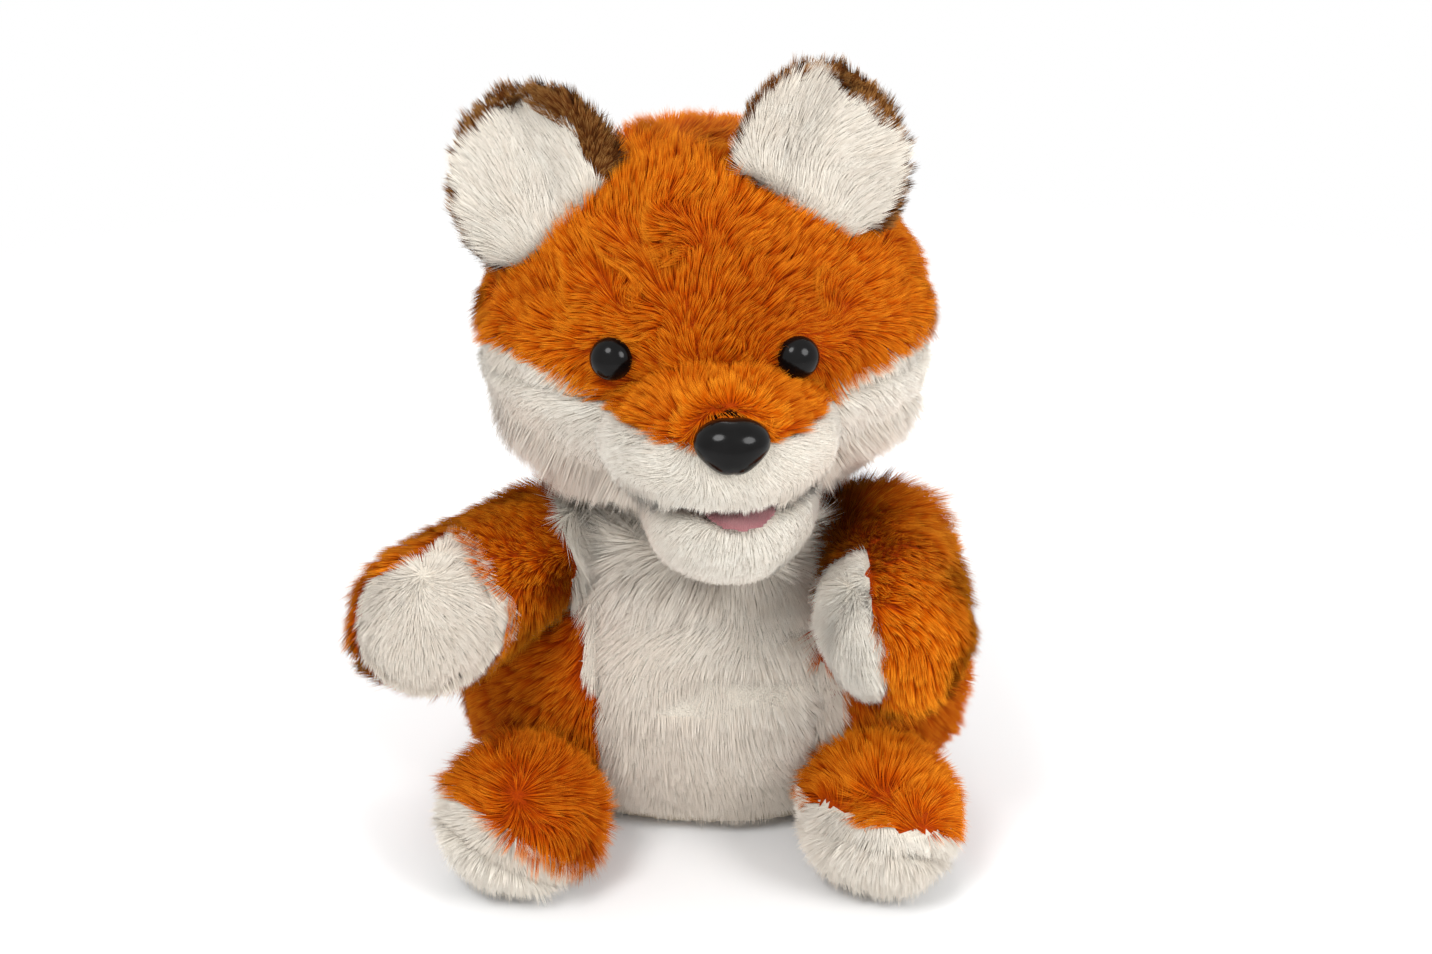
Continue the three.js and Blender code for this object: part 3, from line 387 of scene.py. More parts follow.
@dataclass(frozen=True)
class FibreFinish:
    """Loose polyester filling: pale fibre in soft lumps."""

    slot: str
    colour: Colour

    def material(self) -> bpy.types.Material:
        """The filling's material.

        Returns:
            The material.
        """
        s = Shading(self.slot)
        fluff = s.noise(9.0, 3.0) + s.noise(0.9, 5.0, 0.7)
        darker = tuple(0.8 * c for c in self.colour)
        return s.close(
            Base_Color=s.mix(s.between(fluff, 0.7, 1.3), darker, self.colour),
            Roughness=0.98, Specular_IOR_Level=0.1, Sheen_Weight=0.2,
            Normal=s.bump(fluff, 1.2),
        )


# Each fur's root is darker than its tip: partly the fabric's own colour, partly painted shade deep in the
# pile.
ORANGE = FurFinish(
    "orange_fur", srgb("962E00"), srgb("C65400"), srgb("EE9420"), gloss=0.04, contrast=0.24, warmth=0.5)
# The white's backing is darker by under: painted shade at the foot of its pile.
WHITE = FurFinish(
    "white_fur", srgb("ECE2D2"), srgb("F2EADC"), srgb("F8F1E5"),
    sheen=0.1, gloss=0.05, contrast=0.09, warmth=0.4, under=0.8)
BROWN = FurFinish("brown_fur", srgb("4C2608"), srgb("6E3E14"), srgb("B8864A"))
PLASTIC = PlasticFinish("black_plastic", srgb("070606"))
LINING = ClothFinish("lining_cloth", srgb("D9CBB4"), srgb("B9A88C"))
MOUTH = ClothFinish("mouth_cloth", srgb("965660"), srgb("703840"), 0.7, 0.15, 0.4)
TONGUE = ClothFinish("tongue_cloth", srgb("B27E7E"), srgb("8E545A"), 0.7, 0.15, 0.4)
FIBRE = FibreFinish("fibre_filling", srgb("EFECE4"))


class Finishes:
    """The materials of the puppet, by slot."""

    def __init__(self) -> None:
        """Makes the materials."""
        self.flat = {f.slot: f.material() for f in (LINING, MOUTH, TONGUE, FIBRE, PLASTIC)}
        self.pile = {f.slot: f.strands() for f in (ORANGE, WHITE, BROWN)}
        self.backing = {f.slot: f.backing() for f in (ORANGE, WHITE, BROWN)}


# The frame


class Frame:
    """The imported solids: their places, their bodies and what lies near a point."""

    def __init__(self, loaded: dict) -> None:
        """Reads the nodes, and finds the puppet's own frame by its neck.
        """
        self.nodes = loaded["nodes"]
        self.body_of = {n: o["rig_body"] for n, o in self.nodes.items()}
        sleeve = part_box("neck_sleeve")
        middle = (sleeve[0] + sleeve[1]) / 2
        self.shift = np.array([middle.x - NECK_AT[0] * MM, middle.y - NECK_AT[1] * MM, 0.0])

    def at(self, *place: float) -> np.ndarray:
        """A place in millimetres of the puppet's own frame, in metres of the scene."""
        return np.array(place, float) * MM + self.shift

    def local(self, points: Points) -> Points:
        """Points in millimetres of the puppet's own frame."""
        return (points - self.shift) / MM

    def middle(self, node: str) -> np.ndarray:
        """The middle of a node's box, in metres."""
        low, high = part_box(node)
        return np.array((low + high) / 2)

    def others(self, but: Sequence[str]) -> BVHTree:
        """One search tree over every node but some.

        Args:
            but: The nodes to leave out.

        Returns:
            The tree.
        """
        points, faces = [], []
        for name, node in self.nodes.items():
            if name in but:
                continue
            start = len(points)
            points += [v.co.copy() for v in node.data.vertices]
            faces += [tuple(start + i for i in p.vertices) for p in node.data.polygons]
        return BVHTree.FromPolygons(points, faces)


# Helpers for modelling


def linked(name: str, data: bpy.types.ID) -> bpy.types.Object:
    """An object of its own in the scene.

    Args:
        name: Its name.
        data: What it shows.

    Returns:
        The object.
    """
    made = bpy.data.objects.new(name, data)
    bpy.context.scene.collection.objects.link(made)
    return made


def deselect() -> None:
    """Leaves nothing selected."""
    bpy.ops.object.select_all(action="DESELECT")


def choose(piece: bpy.types.Object) -> None:
    """Selects one object and makes it active.

    Args:
        piece: The object.
    """
    deselect()
    piece.select_set(True)
    bpy.context.view_layer.objects.active = piece


def edit_all() -> None:
    """Goes into the active mesh's edit mode, with all of it selected."""
    bpy.ops.object.mode_set(mode="EDIT")
    bpy.ops.mesh.select_all(action="SELECT")


def modify(piece: bpy.types.Object, kind: str, **settings: object) -> None:
    """Adds a modifier and applies it.

    Args:
        piece: The object.
        kind: The modifier's type.
        **settings: The modifier's settings.
    """
    choose(piece)
    made = piece.modifiers.new(kind.title(), kind)
    for key, value in settings.items():
        setattr(made, key, value)
    bpy.ops.object.modifier_apply(modifier=made.name)


def remade(
    node: bpy.types.Object, name: str, voxel: float, smoothing: int, share: float,
) -> bpy.types.Object:
    """A CAD node's form as an object of its own, with even faces and smoothed.

    Args:
        node: The CAD node.
        name: The new object's name.
        voxel: Size of the faces.
        smoothing: How often it is smoothed.
        share: How many of the faces are kept.

    Returns:
        The object, without a material.
    """
    made = linked(name, node.data.copy())
    made.data.materials.clear()
    choose(made)
    edit_all()
    bpy.ops.mesh.remove_doubles(threshold=0.02 * MM)
    bpy.ops.object.mode_set(mode="OBJECT")
    modify(made, "REMESH", mode="VOXEL", voxel_size=voxel * MM)
    modify(made, "SMOOTH", factor=0.5, iterations=smoothing)
    modify(made, "DECIMATE", ratio=share)
    made.data.materials.clear()
    choose(made)
    bpy.ops.object.shade_smooth()
    return made


def read(items: bpy.types.bpy_prop_collection, key: str) -> Points:
    """One vector of each item of a mesh, as an array.

    Args:
        items: The mesh's vertices, normals or faces.
        key: The vector's name.

    Returns:
        One row for each item.
    """
    found = np.zeros(len(items) * 3, np.float32)
    items.foreach_get(key, found)
    return found.reshape(-1, 3).astype(float)


def coordinates(piece: bpy.types.Object) -> Points:
    """A mesh's vertices, as an array."""
    return read(piece.data.vertices, "co")


def normals(piece: bpy.types.Object) -> Points:
    """A mesh's vertex normals, as an array."""
    return read(piece.data.vertex_normals, "vector")


def put(piece: bpy.types.Object, points: Points) -> None:
    """Moves a mesh's vertices to the points."""
    piece.data.vertices.foreach_set("co", points.astype(np.float32).ravel())
    piece.data.update()


def search_tree(points: Points) -> KDTree:
    """A tree that finds the nearest of the points.

    Args:
        points: The points.

    Returns:
        The tree.
    """
    tree = KDTree(len(points))
    for i, point in enumerate(points):
        tree.insert(point, i)
    tree.balance()
    return tree


def unit(vectors: Points) -> Points:
    """Vectors of length 1."""
    return vectors / np.maximum(np.linalg.norm(vectors, axis=-1, keepdims=True), 1e-9)


def distance(points: Points, place: np.ndarray) -> np.ndarray:
    """How far the points lie from a place, in metres."""
    return np.linalg.norm(points - place, axis=1)


def smoothstep(value: np.ndarray, low: float, high: float) -> np.ndarray:
    """0 below low, 1 above high and smooth between."""
    t = np.clip((value - low) / (high - low), 0, 1)
    return t * t * (3 - 2 * t)


def rises(value: np.ndarray, low: float, high: float) -> np.ndarray:
    """From 0 to 1 as a length in metres goes from low to high millimetres."""
    return smoothstep(value, low * MM, high * MM)


def fades(value: np.ndarray, low: float, high: float) -> np.ndarray:
    """From 1 to 0 as a length in metres goes from low to high millimetres."""
    return 1 - rises(value, low, high)


def sideways(points: Points, middle: np.ndarray, reach: float) -> Points:
    """How far aside of a middle the points lie, from -1 to 1, which they have at the reach."""
    return np.clip((points[:, :1] - middle[0]) / (reach * MM), -1, 1)


def drift(points: Points, size: float, seed: int) -> Points:
    """A smooth random vector for each point.

    Args:
        points: Places in metres.
        size: How many millimetres it takes to change.
        seed: Which of the random fields.

    Returns:
        Vectors whose parts are about -1 to 1.
    """
    rng = np.random.default_rng(seed)
    total = np.zeros((len(points), 3))
    for _ in range(5):
        wave = rng.normal(size=(3, 3)) / (size * MM)
        total += np.sin(points @ wave.T + rng.uniform(0, 2 * math.pi, 3))
    return total / 2.6


# Pile


@dataclass(frozen=True)
class Pile:
    """How a panel's fur stands."""

    length: float = 9.0
    density: float = 2.9  # strands to a square millimetre
    width: float = 0.32
    lean: float = 52.0  # degrees from upright, at the middle of the strand
    droop: float = 20.0  # more degrees at its tip
    clump: float = 3.2
    gather: float = 0.5
    stray: float = 0.35
    wander: float = 0.6  # how unevenly it is brushed
    soft: float = 0.6  # how much a strand is lit as the cloth under it is
    tone: float = 0.0  # lighter or darker than the colour, in shades of the strands: painted light on parts that are lit, painted shade on parts in shade


@dataclass(frozen=True)
class Patch:
    """A part of a panel whose pile has its own colour and length."""

    name: str
    slot: str
    pile: Pile
    where: Callable[[Points], np.ndarray]


@dataclass
class Panel:
    """One cut panel of fur fabric, made from the CAD node of the same name."""

    node: str
    pile: Pile
    seed: int
    voxel: float = 1.9
    smoothing: int = 6
    fill: float = 0.6
    slot: Optional[str] = None  # where it isn't the node's own
    patches: Sequence[Patch] = ()
    swell: float = 0.0  # how far the filling may push it out
    over: tuple[str, ...] = ()  # the parts that its fur may lie on
    seam: float = 2.0  # how deep in a seam it still grows fur
    fur: list = field(default_factory=list)
    pelt: Optional[bpy.types.Object] = None
    room: Optional[np.ndarray] = None  # how far each point of the cloth sees outwards, in metres
    ups: Optional[Points] = None  # the way out of the cloth at each of its points

    def plain(self, points: Points) -> np.ndarray:
        """Whether places lie on none of the patches."""
        taken = [patch.where(points) for patch in self.patches]
        return ~np.any(taken, axis=0) if taken else np.ones(len(points), bool)


@dataclass
class Coat:
    """Grows strands on a panel's outside."""

    finishes: Finishes
    thin: float  # share of the strands that are grown
    behind: float = 0.62  # share of them where the cloth faces back
    narrow: float = 0.6  # and where it has little room
    narrow_room: float = 5.0
    under: float = 0.4  # and underneath, close to the table
    under_height: float = 12.0
    sink: float = 0.5  # how deep the roots go
    floor_clear: float = 0.4  # how far above the table top the tips stay
    uneven: float = 0.14  # how much the strands' length changes from place to place
    lengths: tuple[float, float] = (0.8, 1.12)  # and from strand to strand
    shortest: float = 1.2  # however little room there is
    sway: float = 12.0  # degrees that their lean changes from place to place
    jitter: float = 6.0  # and from strand to strand
    pressed: float = 18.0  # and more where there is little room
    clump_gain: float = 0.12  # how much the clumps' lengths differ
    straying: float = 0.35  # how far stray tips end from where they would
    shade_drift: float = 0.2  # how much their shade changes from place to place
    shade_own: float = 0.13  # and from strand to strand
    shade_clump: float = 0.1  # and from clump to clump
    strands: int = 0

    def _roots(self, panel: Panel, density: float, seed: int) -> tuple[Points, Points, np.ndarray]:
        """Scatters roots over the faces that have room for fur.

        Args:
            panel: The panel, with its fabric cut.
            density: Strands to a square millimetre.
            seed: For the scatter.

        Returns:
            Places, normals and room of the roots.
        """
        rng = np.random.default_rng(seed)
        mesh = panel.pelt.data
        mesh.calc_loop_triangles()
        corners = np.zeros(len(mesh.loop_triangles) * 3, np.int32)
        mesh.loop_triangles.foreach_get("vertices", corners)
        corners = corners.reshape(-1, 3)
        corners = corners[panel.room[corners].min(axis=1) > OPEN * MM]
        points = coordinates(panel.pelt)
        a, b, c = (points[corners[:, i]] for i in range(3))
        size = np.linalg.norm(np.cross(b - a, c - a), axis=1) / 2
        count = int(size.sum() / MM ** 2 * density * self.thin)
        if count < FEWEST_STRANDS:
            return np.zeros((0, 3)), np.zeros((0, 3)), np.zeros(0)
        which = np.searchsorted(np.cumsum(size) / size.sum(), (np.arange(count) + rng.random(count)) / count)
        which = np.minimum(which, len(corners) - 1)
        u, v = rng.random(count), rng.random(count)
        over = u + v > 1
        u[over], v[over] = 1 - u[over], 1 - v[over]
        weights = np.stack([1 - u - v, u, v], 1)
        place, up, space = (
            np.einsum("ij,ij...->i...", weights, each[corners[which]])
            for each in (points, panel.ups, panel.room)
        )
        up = unit(up)
        share = np.where(up[:, 1] > 0.35, self.behind, 1.0)
        share *= np.where(space < self.narrow_room * MM, self.narrow, 1.0)
        share *= np.where((up[:, 2] < -0.6) & (place[:, 2] < self.under_height * MM), self.under, 1.0)
        kept = rng.random(count) < share
        return place[kept], up[kept], space[kept]

    def _tips(
        self, root: Points, up: Points, space: np.ndarray, share: np.ndarray, lay: Points,
        pile: Pile, seed: int, rng: np.random.Generator,
    ) -> Points:
        """Where the strands end before they clump.

        Args:
            root: The roots.
            up: The way out of the cloth at each root.
            space: The room over each root.
            share: The share of its length that each strand has.
            lay: The way that each is brushed, along the cloth.
            pile: How the fur stands.
            seed: For the uneven brushing.
            rng: For the strands' own length and lean.

        Returns:
            The tips.
        """
        count = len(root)
        uneven = 1 + self.uneven * drift(root, 9, seed + 2)[:, 0]
        length = pile.length * MM * share * uneven * rng.uniform(*self.lengths, count)
        rise = math.cos(math.radians(pile.lean))
        length = np.minimum(length, np.maximum(space * 0.9 / rise, self.shortest * MM))
        tight = np.clip(length / (pile.length * MM * np.maximum(share, 0.3)), 0, 1)
        sway = self.sway * drift(root, 7, seed + 3)[:, 0]
        lean = np.radians(pile.lean + sway + rng.normal(0, self.jitter, count) + self.pressed * (1 - tight))
        lean = np.clip(lean, 0.1, 1.4)
        final = np.clip(lean + math.radians(pile.droop), 0, 1.5)
        low, high = (up * np.cos(turn)[:, None] + lay * np.sin(turn)[:, None] for turn in (lean, final))
        return root + (low + high) * (length * 0.5)[:, None]

    def _clumped(
        self, root: Points, tip: Points, pile: Pile, rng: np.random.Generator,
    ) -> tuple[Points, np.ndarray]:
        """Gathers the tips into clumps.

        Args:
            root: The roots.
            tip: The tips.
            pile: How the fur stands.
            rng: For the clumps and the strays.

        Returns:
            The tips, and which strand each one's clump has in its middle.
        """
        count = len(root)
        clumps = max(4, int(count / (pile.density * self.thin * pile.clump ** 2)))
        centres = rng.permutation(count)[:clumps]
        tree = search_tree(root[centres])
        nearest = centres[np.fromiter((tree.find(p)[1] for p in root), int, count)]
        gain = (1 + self.clump_gain * rng.normal(size=count))[nearest]
        tip = root + (tip - root) * gain[:, None]
        pull = pile.gather * rng.uniform(0.6, 1.15, count) * (rng.random(count) > pile.stray * 0.4)
        tip += (tip[nearest] - tip) * pull[:, None]
        tip += rng.normal(0, self.straying * MM, (count, 3)) * pile.stray
        return tip, nearest

    def grow(self, panel: Panel, patch: Patch, hide: "Hide", seed: int) -> list[bpy.types.Object]:
        """Grows the fur of one patch of a panel.

        Args:
            panel: The panel, with its fabric cut.
            patch: The patch, with its pile.
            hide: The body part, which brushes and trims the fur.
            seed: For all that is random.

        Returns:
            The strands, in pieces that are each small enough.
        """
        rng = np.random.default_rng(seed)
        pile = patch.pile
        root, up, space = self._roots(panel, pile.density, seed)
        if not len(root):
            return []
        share = hide.trim(panel, root)
        keep = (share > 0.05) & patch.where(root)
        root, up, space, share = root[keep], up[keep], space[keep], share[keep]
        count = len(root)
        if count < FEWEST_STRANDS:
            return []
        stray = 0.6 * drift(root, 17, seed) + 0.4 * drift(root, 6, seed + 1)
        lay = hide.flow(panel, root) + pile.wander * stray
        lay = unit(lay - up * np.einsum("ij,ij->i", lay, up)[:, None])
        tip = self._tips(root, up, space, share, lay, pile, seed, rng)
        tip, nearest = self._clumped(root, tip, pile, rng)
        # pile.tone lifts a lit pile as painted light and lowers a pile in shade as painted shade; the drift
        # and the strands' own and clumps' shades are random tone
        shade = 0.5 + pile.tone + self.shade_drift * drift(root, 22, seed + 4)[:, 0]
        shade += rng.normal(0, self.shade_own, count)
        shade += rng.normal(0, self.shade_clump, count)[nearest]
        shade = np.clip(shade, 0.02, 0.98)
        tip[:, 2] = np.maximum(tip[:, 2], self.floor_clear * MM)
        label = f"{panel.node}_{patch.name}"
        return self._weave(label, patch, root - up * self.sink * MM, tip, up, shade, rng)

    def _weave(
        self, name: str, patch: Patch, root: Points, tip: Points, up: Points,
        shade: np.ndarray, rng: np.random.Generator,
    ) -> list[bpy.types.Object]:
        """Makes the strands' meshes: each is a three-sided needle.

        Args:
            name: The pieces' name.
            patch: The patch, with its pile and slot.
            root: The roots.
            tip: The tips.
            up: The way out of the cloth at each root.
            shade: Each strand's own shade.
            rng: For their width.

        Returns:
            The pieces.
        """
        count = len(root)
        along = unit(tip - root)
        side = unit(np.cross(along, up) + 1e-6)
        face = unit(np.cross(side, along))
        half = (patch.pile.width / 2 * MM * rng.uniform(0.75, 1.25, count))[:, None] / math.sqrt(self.thin)
        points = np.stack([root - side * half, root + side * half, root - face * half, tip], 1)
        lit = unit(up * patch.pile.soft + face * (1 - patch.pile.soft))
        order = np.argsort(root[:, 0], kind="stable")
        pieces = math.ceil(count / STRANDS_TO_A_PIECE)
        made = []
        for part, chosen in enumerate(np.array_split(order, pieces)):
            label = name + (f"_{part + 1}" if pieces > 1 else "")
            made.append(self._mesh(label, points[chosen], shade[chosen], lit[chosen], patch.slot))
        self.strands += count
        return made

    def _mesh(
        self, name: str, points: Points, shade: np.ndarray, lit: Points, slot: str,
    ) -> bpy.types.Object:
        """One mesh of many strands.

        Args:
            name: The piece's name.
            points: The four points of each strand.
            shade: Each strand's own shade, which the map holds beside the way from root to tip.
            lit: The normal that each strand is lit by.
            slot: The material slot.

        Returns:
            The piece.
        """
        count, corners = len(points), np.array([0, 1, 3, 1, 2, 3, 2, 0, 3])
        mesh = bpy.data.meshes.new(name)
        mesh.vertices.add(count * 4)
        mesh.vertices.foreach_set("co", points.astype(np.float32).ravel())
        loops = (np.arange(count)[:, None] * 4 + corners).ravel()
        mesh.loops.add(count * 9)
        mesh.loops.foreach_set("vertex_index", loops.astype(np.int32))
        mesh.polygons.add(count * 3)
        mesh.polygons.foreach_set("loop_start", np.arange(0, count * 9, 3, dtype=np.int32))
        mesh.polygons.foreach_set("use_smooth", np.ones(count * 3, bool))
        mesh.update(calc_edges=True)
        uv = np.zeros((count, 9, 2))
        uv[..., 0] = shade[:, None] + np.tile([-1.0, 1.0, 0.0], 3) * 0.01
        uv[..., 1] = corners == 3
        mesh.uv_layers.new(name=PILE_MAP).uv.foreach_set("vector", uv.astype(np.float32).ravel())
        mesh.normals_split_custom_set_from_vertices(np.repeat(lit, 4, axis=0).tolist())
        piece = linked(name, mesh)
        mesh.materials.append(self.finishes.pile[slot])
        return piece


# Fabric under the pile


class Workshop:
    """What every sub-assembly uses: the frame, the finishes and the coat."""

    def __init__(self, frame: Frame, seen: Callable[[Points], Points]) -> None:
        """Makes the finishes and the coat.

        Args:
            frame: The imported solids.
            seen: Where places show in the photograph.
        """
        self.frame, self.seen = frame, seen
        self.finishes = Finishes()
        self.coat = Coat(self.finishes, thin=1.0)

    def slot(self, node: str) -> str:
        """The material slot of a node."""
        return self.frame.nodes[node].data.materials[0].name.split(".")[0]

    def _room(self, pelt: bpy.types.Object, tree: BVHTree) -> np.ndarray:
        """How far each point of the cloth sees along its normal.

        Args:
            pelt: The panel's fabric.
            tree: What may stand in the way.

        Returns:
            The room in metres, at most FAR.
        """
        room = np.full(len(pelt.data.vertices), FAR * MM)
        for i, (point, up) in enumerate(zip(coordinates(pelt), normals(pelt))):
            hit = tree.ray_cast(Vector(point + up * 0.05 * MM), Vector(up), FAR * MM)
            if hit[0] is not None:
                room[i] = hit[3]
        return room

    def _swell(self, pelt: bpy.types.Object, room: np.ndarray, cap: float) -> None:
        """Lets the filling push a panel out under pressure, held at its seams.

        Args:
            pelt: The panel's fabric, a closed mesh.
            room: How far each of its points sees outwards, in metres.
            cap: How far a point may move, in metres.
        """
        before = coordinates(pelt)
        held = pelt.vertex_groups.new(name="held")
        held.add(np.nonzero(room < 2 * MM)[0].tolist(), 1.0, "REPLACE")
        choose(pelt)
        cloth = pelt.modifiers.new("Cloth", "CLOTH")
        cloth.settings.quality, cloth.settings.mass = 3, 0.0015
        cloth.settings.tension_stiffness = cloth.settings.compression_stiffness = 5
        cloth.settings.use_pressure, cloth.settings.uniform_pressure_force = True, PRESSURE
        cloth.settings.effector_weights.gravity = 0
        cloth.settings.vertex_group_mass = held.name
        cloth.collision_settings.use_collision = False
        cloth.point_cache.frame_start, cloth.point_cache.frame_end = 1, SWELL_FRAMES
        for frame in range(1, SWELL_FRAMES + 1):
            bpy.context.scene.frame_set(frame)
        bpy.ops.object.modifier_apply(modifier=cloth.name)
        bpy.context.scene.frame_set(1)
        pelt.vertex_groups.clear()
        move = coordinates(pelt) - before
        far = np.linalg.norm(move, axis=1)
        limit = np.minimum(cap * np.tanh(far / cap), 0.5 * room)
        put(pelt, before + unit(move) * limit[:, None])
        log.info("%s: swelled by %.1f mm at most", pelt.name, limit.max() / MM)

    def fabric(self, panel: Panel, press: Callable[[Panel, Points], np.ndarray]) -> None:
        """Cuts a panel's fabric and finds how much room each of its points has outwards.

        Args:
            panel: The panel, whose pelt, room and ways out are made here.
            press: How deep the cloth is pressed in at a place, in metres.
        """
        node = self.frame.nodes[panel.node]
        voxel = panel.voxel * 1.0
        pelt = remade(node, f"{panel.node}_pelt", voxel, panel.smoothing, 0.5)
        tree = self.frame.others([panel.node, *panel.over])
        room = self._room(pelt, tree)
        if panel.swell:
            self._swell(pelt, room, panel.swell * MM)
            room = self._room(pelt, tree)
        points, ups = coordinates(pelt), normals(pelt)
        put(pelt, points - ups * (press(panel, points) * (room > OPEN * MM))[:, None])
        points, ups = coordinates(pelt), normals(pelt)
        outer = np.nonzero(room > OPEN * MM)[0]
        nearby = search_tree(points[outer])
        for i in np.nonzero(room <= OPEN * MM)[0]:
            _, found, away = nearby.find(points[i])
            if away is not None and away < panel.seam * MM:
                room[i], ups[i] = room[outer[found]], ups[outer[found]]
        panel.pelt, panel.room, panel.ups = pelt, room, ups

    def finish(self, panel: Panel, body: str, slot: str) -> None:
        """Dresses a panel's fabric and fur, and makes them ride on their body.

        Args:
            panel: The panel, with its fabric and fur.
            body: The body.
            slot: The fabric's material slot.
        """
        mesh = panel.pelt.data
        middles = read(mesh.polygons, "center")
        which = np.zeros(len(mesh.polygons), np.int32)
        mesh.materials.append(self.finishes.backing[slot])
        for number, patch in enumerate(panel.patches):
            mesh.materials.append(self.finishes.backing[patch.slot])
            which[patch.where(middles)] = number + 1
        mesh.polygons.foreach_set("material_index", which)
        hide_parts(panel.node)
        for piece in [panel.pelt, *panel.fur]:
            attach(piece, body)
        count = sum(len(f.data.polygons) // 3 for f in panel.fur)
        log.info("%s: %d points of fabric, %d strands", panel.node, len(panel.pelt.data.vertices), count)

    def stand_in(self, piece: bpy.types.Object, node: str, slot: str) -> None:
        """Gives a plain piece its material, and puts it in a node's place.

        Args:
            piece: The piece.
            node: The CAD node it replaces.
            slot: Its material slot.
        """
        piece.data.materials.clear()
        piece.data.materials.append(self.finishes.flat[slot])
        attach(piece, self.frame.body_of[node])
        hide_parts(node)
        log.info("%s: %d points", piece.name, len(piece.data.vertices))

    def soft(self, node: str, slot: str, voxel: float, smoothing: int = 4) -> None:
        """Makes a soft inner piece: the node's form, remade evenly and smoothed."""
        piece = remade(self.frame.nodes[node], f"{node}_soft", voxel, smoothing, 0.25)
        self.stand_in(piece, node, slot)


# Piles for the panels, from the photograph

# LONG's tone lightens the arms' sleeves: painted light where they are lit.
LONG = Pile(
    length=8.4, density=2.5, width=0.33, lean=50, droop=24, clump=3.2, gather=0.4, wander=0.75, tone=0.32)
# The side panels' tone darkens them: painted shade under the arms.
SHADED_SIDE = replace(LONG, tone=-0.45)
FOOT = Pile(
    length=8.6, density=2.6, width=0.32, lean=50, droop=26, clump=3.0, gather=0.34, wander=1.5, tone=-0.12)
HEAD = Pile(length=8.2, density=2.9, width=0.3, lean=53, droop=22, clump=2.8, gather=0.38, wander=0.9)
BRIDGE = Pile(length=7.6, density=4.0, width=0.26, lean=54, droop=22, clump=2.8, gather=0.4, wander=1.2)
# BROW's tone lightens the fur above the nose: painted light against the shade there.
BROW = Pile(
    length=7.2, density=6.0, width=0.3, lean=62, droop=14, clump=2.4, gather=0.25, wander=0.9,
    soft=0.8, tone=0.3)
# BIB's tone darkens the belly: painted shade.
BIB = Pile(
    length=7.0, density=3.5, width=0.27, lean=62, droop=18, clump=2.6, gather=0.16, soft=0.93, tone=-0.35)
RUFF = Pile(
    length=12.5, density=3.4, width=0.28, lean=54, droop=22, clump=2.8, gather=0.2, stray=0.6, soft=0.93)
CHEEK = Pile(length=5.4, density=3.8, width=0.28, lean=64, droop=16, clump=2.4, gather=0.12, soft=0.96)
SHORN = Pile(
    length=3.8, density=4.4, width=0.29, lean=58, droop=12, clump=1.8, gather=0.06, stray=0.2, soft=0.97)
EAR_BACK = Pile(length=5.2, density=3.6, width=0.3, lean=48, droop=20, clump=2.4, gather=0.4, soft=0.75)
EAR_FRONT = Pile(length=6.8, density=4.0, width=0.27, lean=64, droop=16, clump=2.6, gather=0.16, soft=0.94)
BRUSH = Pile(length=9.0, density=1.9, width=0.36, lean=46, droop=24, clump=3.2, gather=0.4)
NECK = Pile(length=7.0, density=2.2, width=0.36, lean=40, droop=20, clump=3.0, gather=0.4)
FRINGE = Pile(
    length=12.5, density=3.9, width=0.29, lean=58, droop=14, clump=2.8, gather=0.14, stray=0.6, wander=0.5,
    soft=0.95)
# PALM's tone darkens the palms: painted shade.
PALM = Pile(
    length=5.0, density=4.6, width=0.3, lean=62, droop=12, clump=1.8, gather=0.04, stray=0.15, wander=0.2,
    soft=0.98, tone=-0.4)
COLLAR = Pile(
    length=18.0, density=3.4, width=0.34, lean=34, droop=20, clump=2.8, gather=0.15, stray=0.6, soft=0.95)
SOLE = Pile(
    length=7.0, density=4.2, width=0.29, lean=52, droop=16, clump=1.8, gather=0.05, stray=0.2, soft=0.97)
NECK_FRONT = Pile(length=15.0, density=3.2, width=0.34, lean=36, droop=30, clump=2.8, gather=0.15, soft=0.95)

# The white front's edges in the photograph: how far down, and how far across there
FRONT_RIGHT = ((430, 486, 520, 538, 573, 629, 665, 700, 800), (590, 566, 562, 562, 572, 586, 580, 602, 604))
FRONT_LEFT = ((430, 543, 603, 700, 740, 800), (812, 812, 810, 841, 838, 812))
# How wide the brown rim is round each ear in the photograph: turn from the viewer's right, and share
EAR_RIMS = {
    Side.RIGHT: (
        (-180, -140, -60, -20, 10, 45, 80, 110, 150, 180),
        (0.14, 0.08, 0.0, 0.14, 0.46, 0.4, 0.34, 0.26, 0.12, 0.14)),
    Side.LEFT: (
        (-180, -60, -30, 0, 15, 35, 60, 80, 100, 140, 180),
        (0.0, 0.0, 0.06, 0.14, 0.2, 0.34, 0.36, 0.3, 0.14, 0.08, 0.0)),
}
# Each sole's line: where it starts, how high it is there and how it slopes
SOLE_LINES = {Side.RIGHT: (-85.8, 10.6, -0.571), Side.LEFT: (27.9, 6.8, -0.235)}


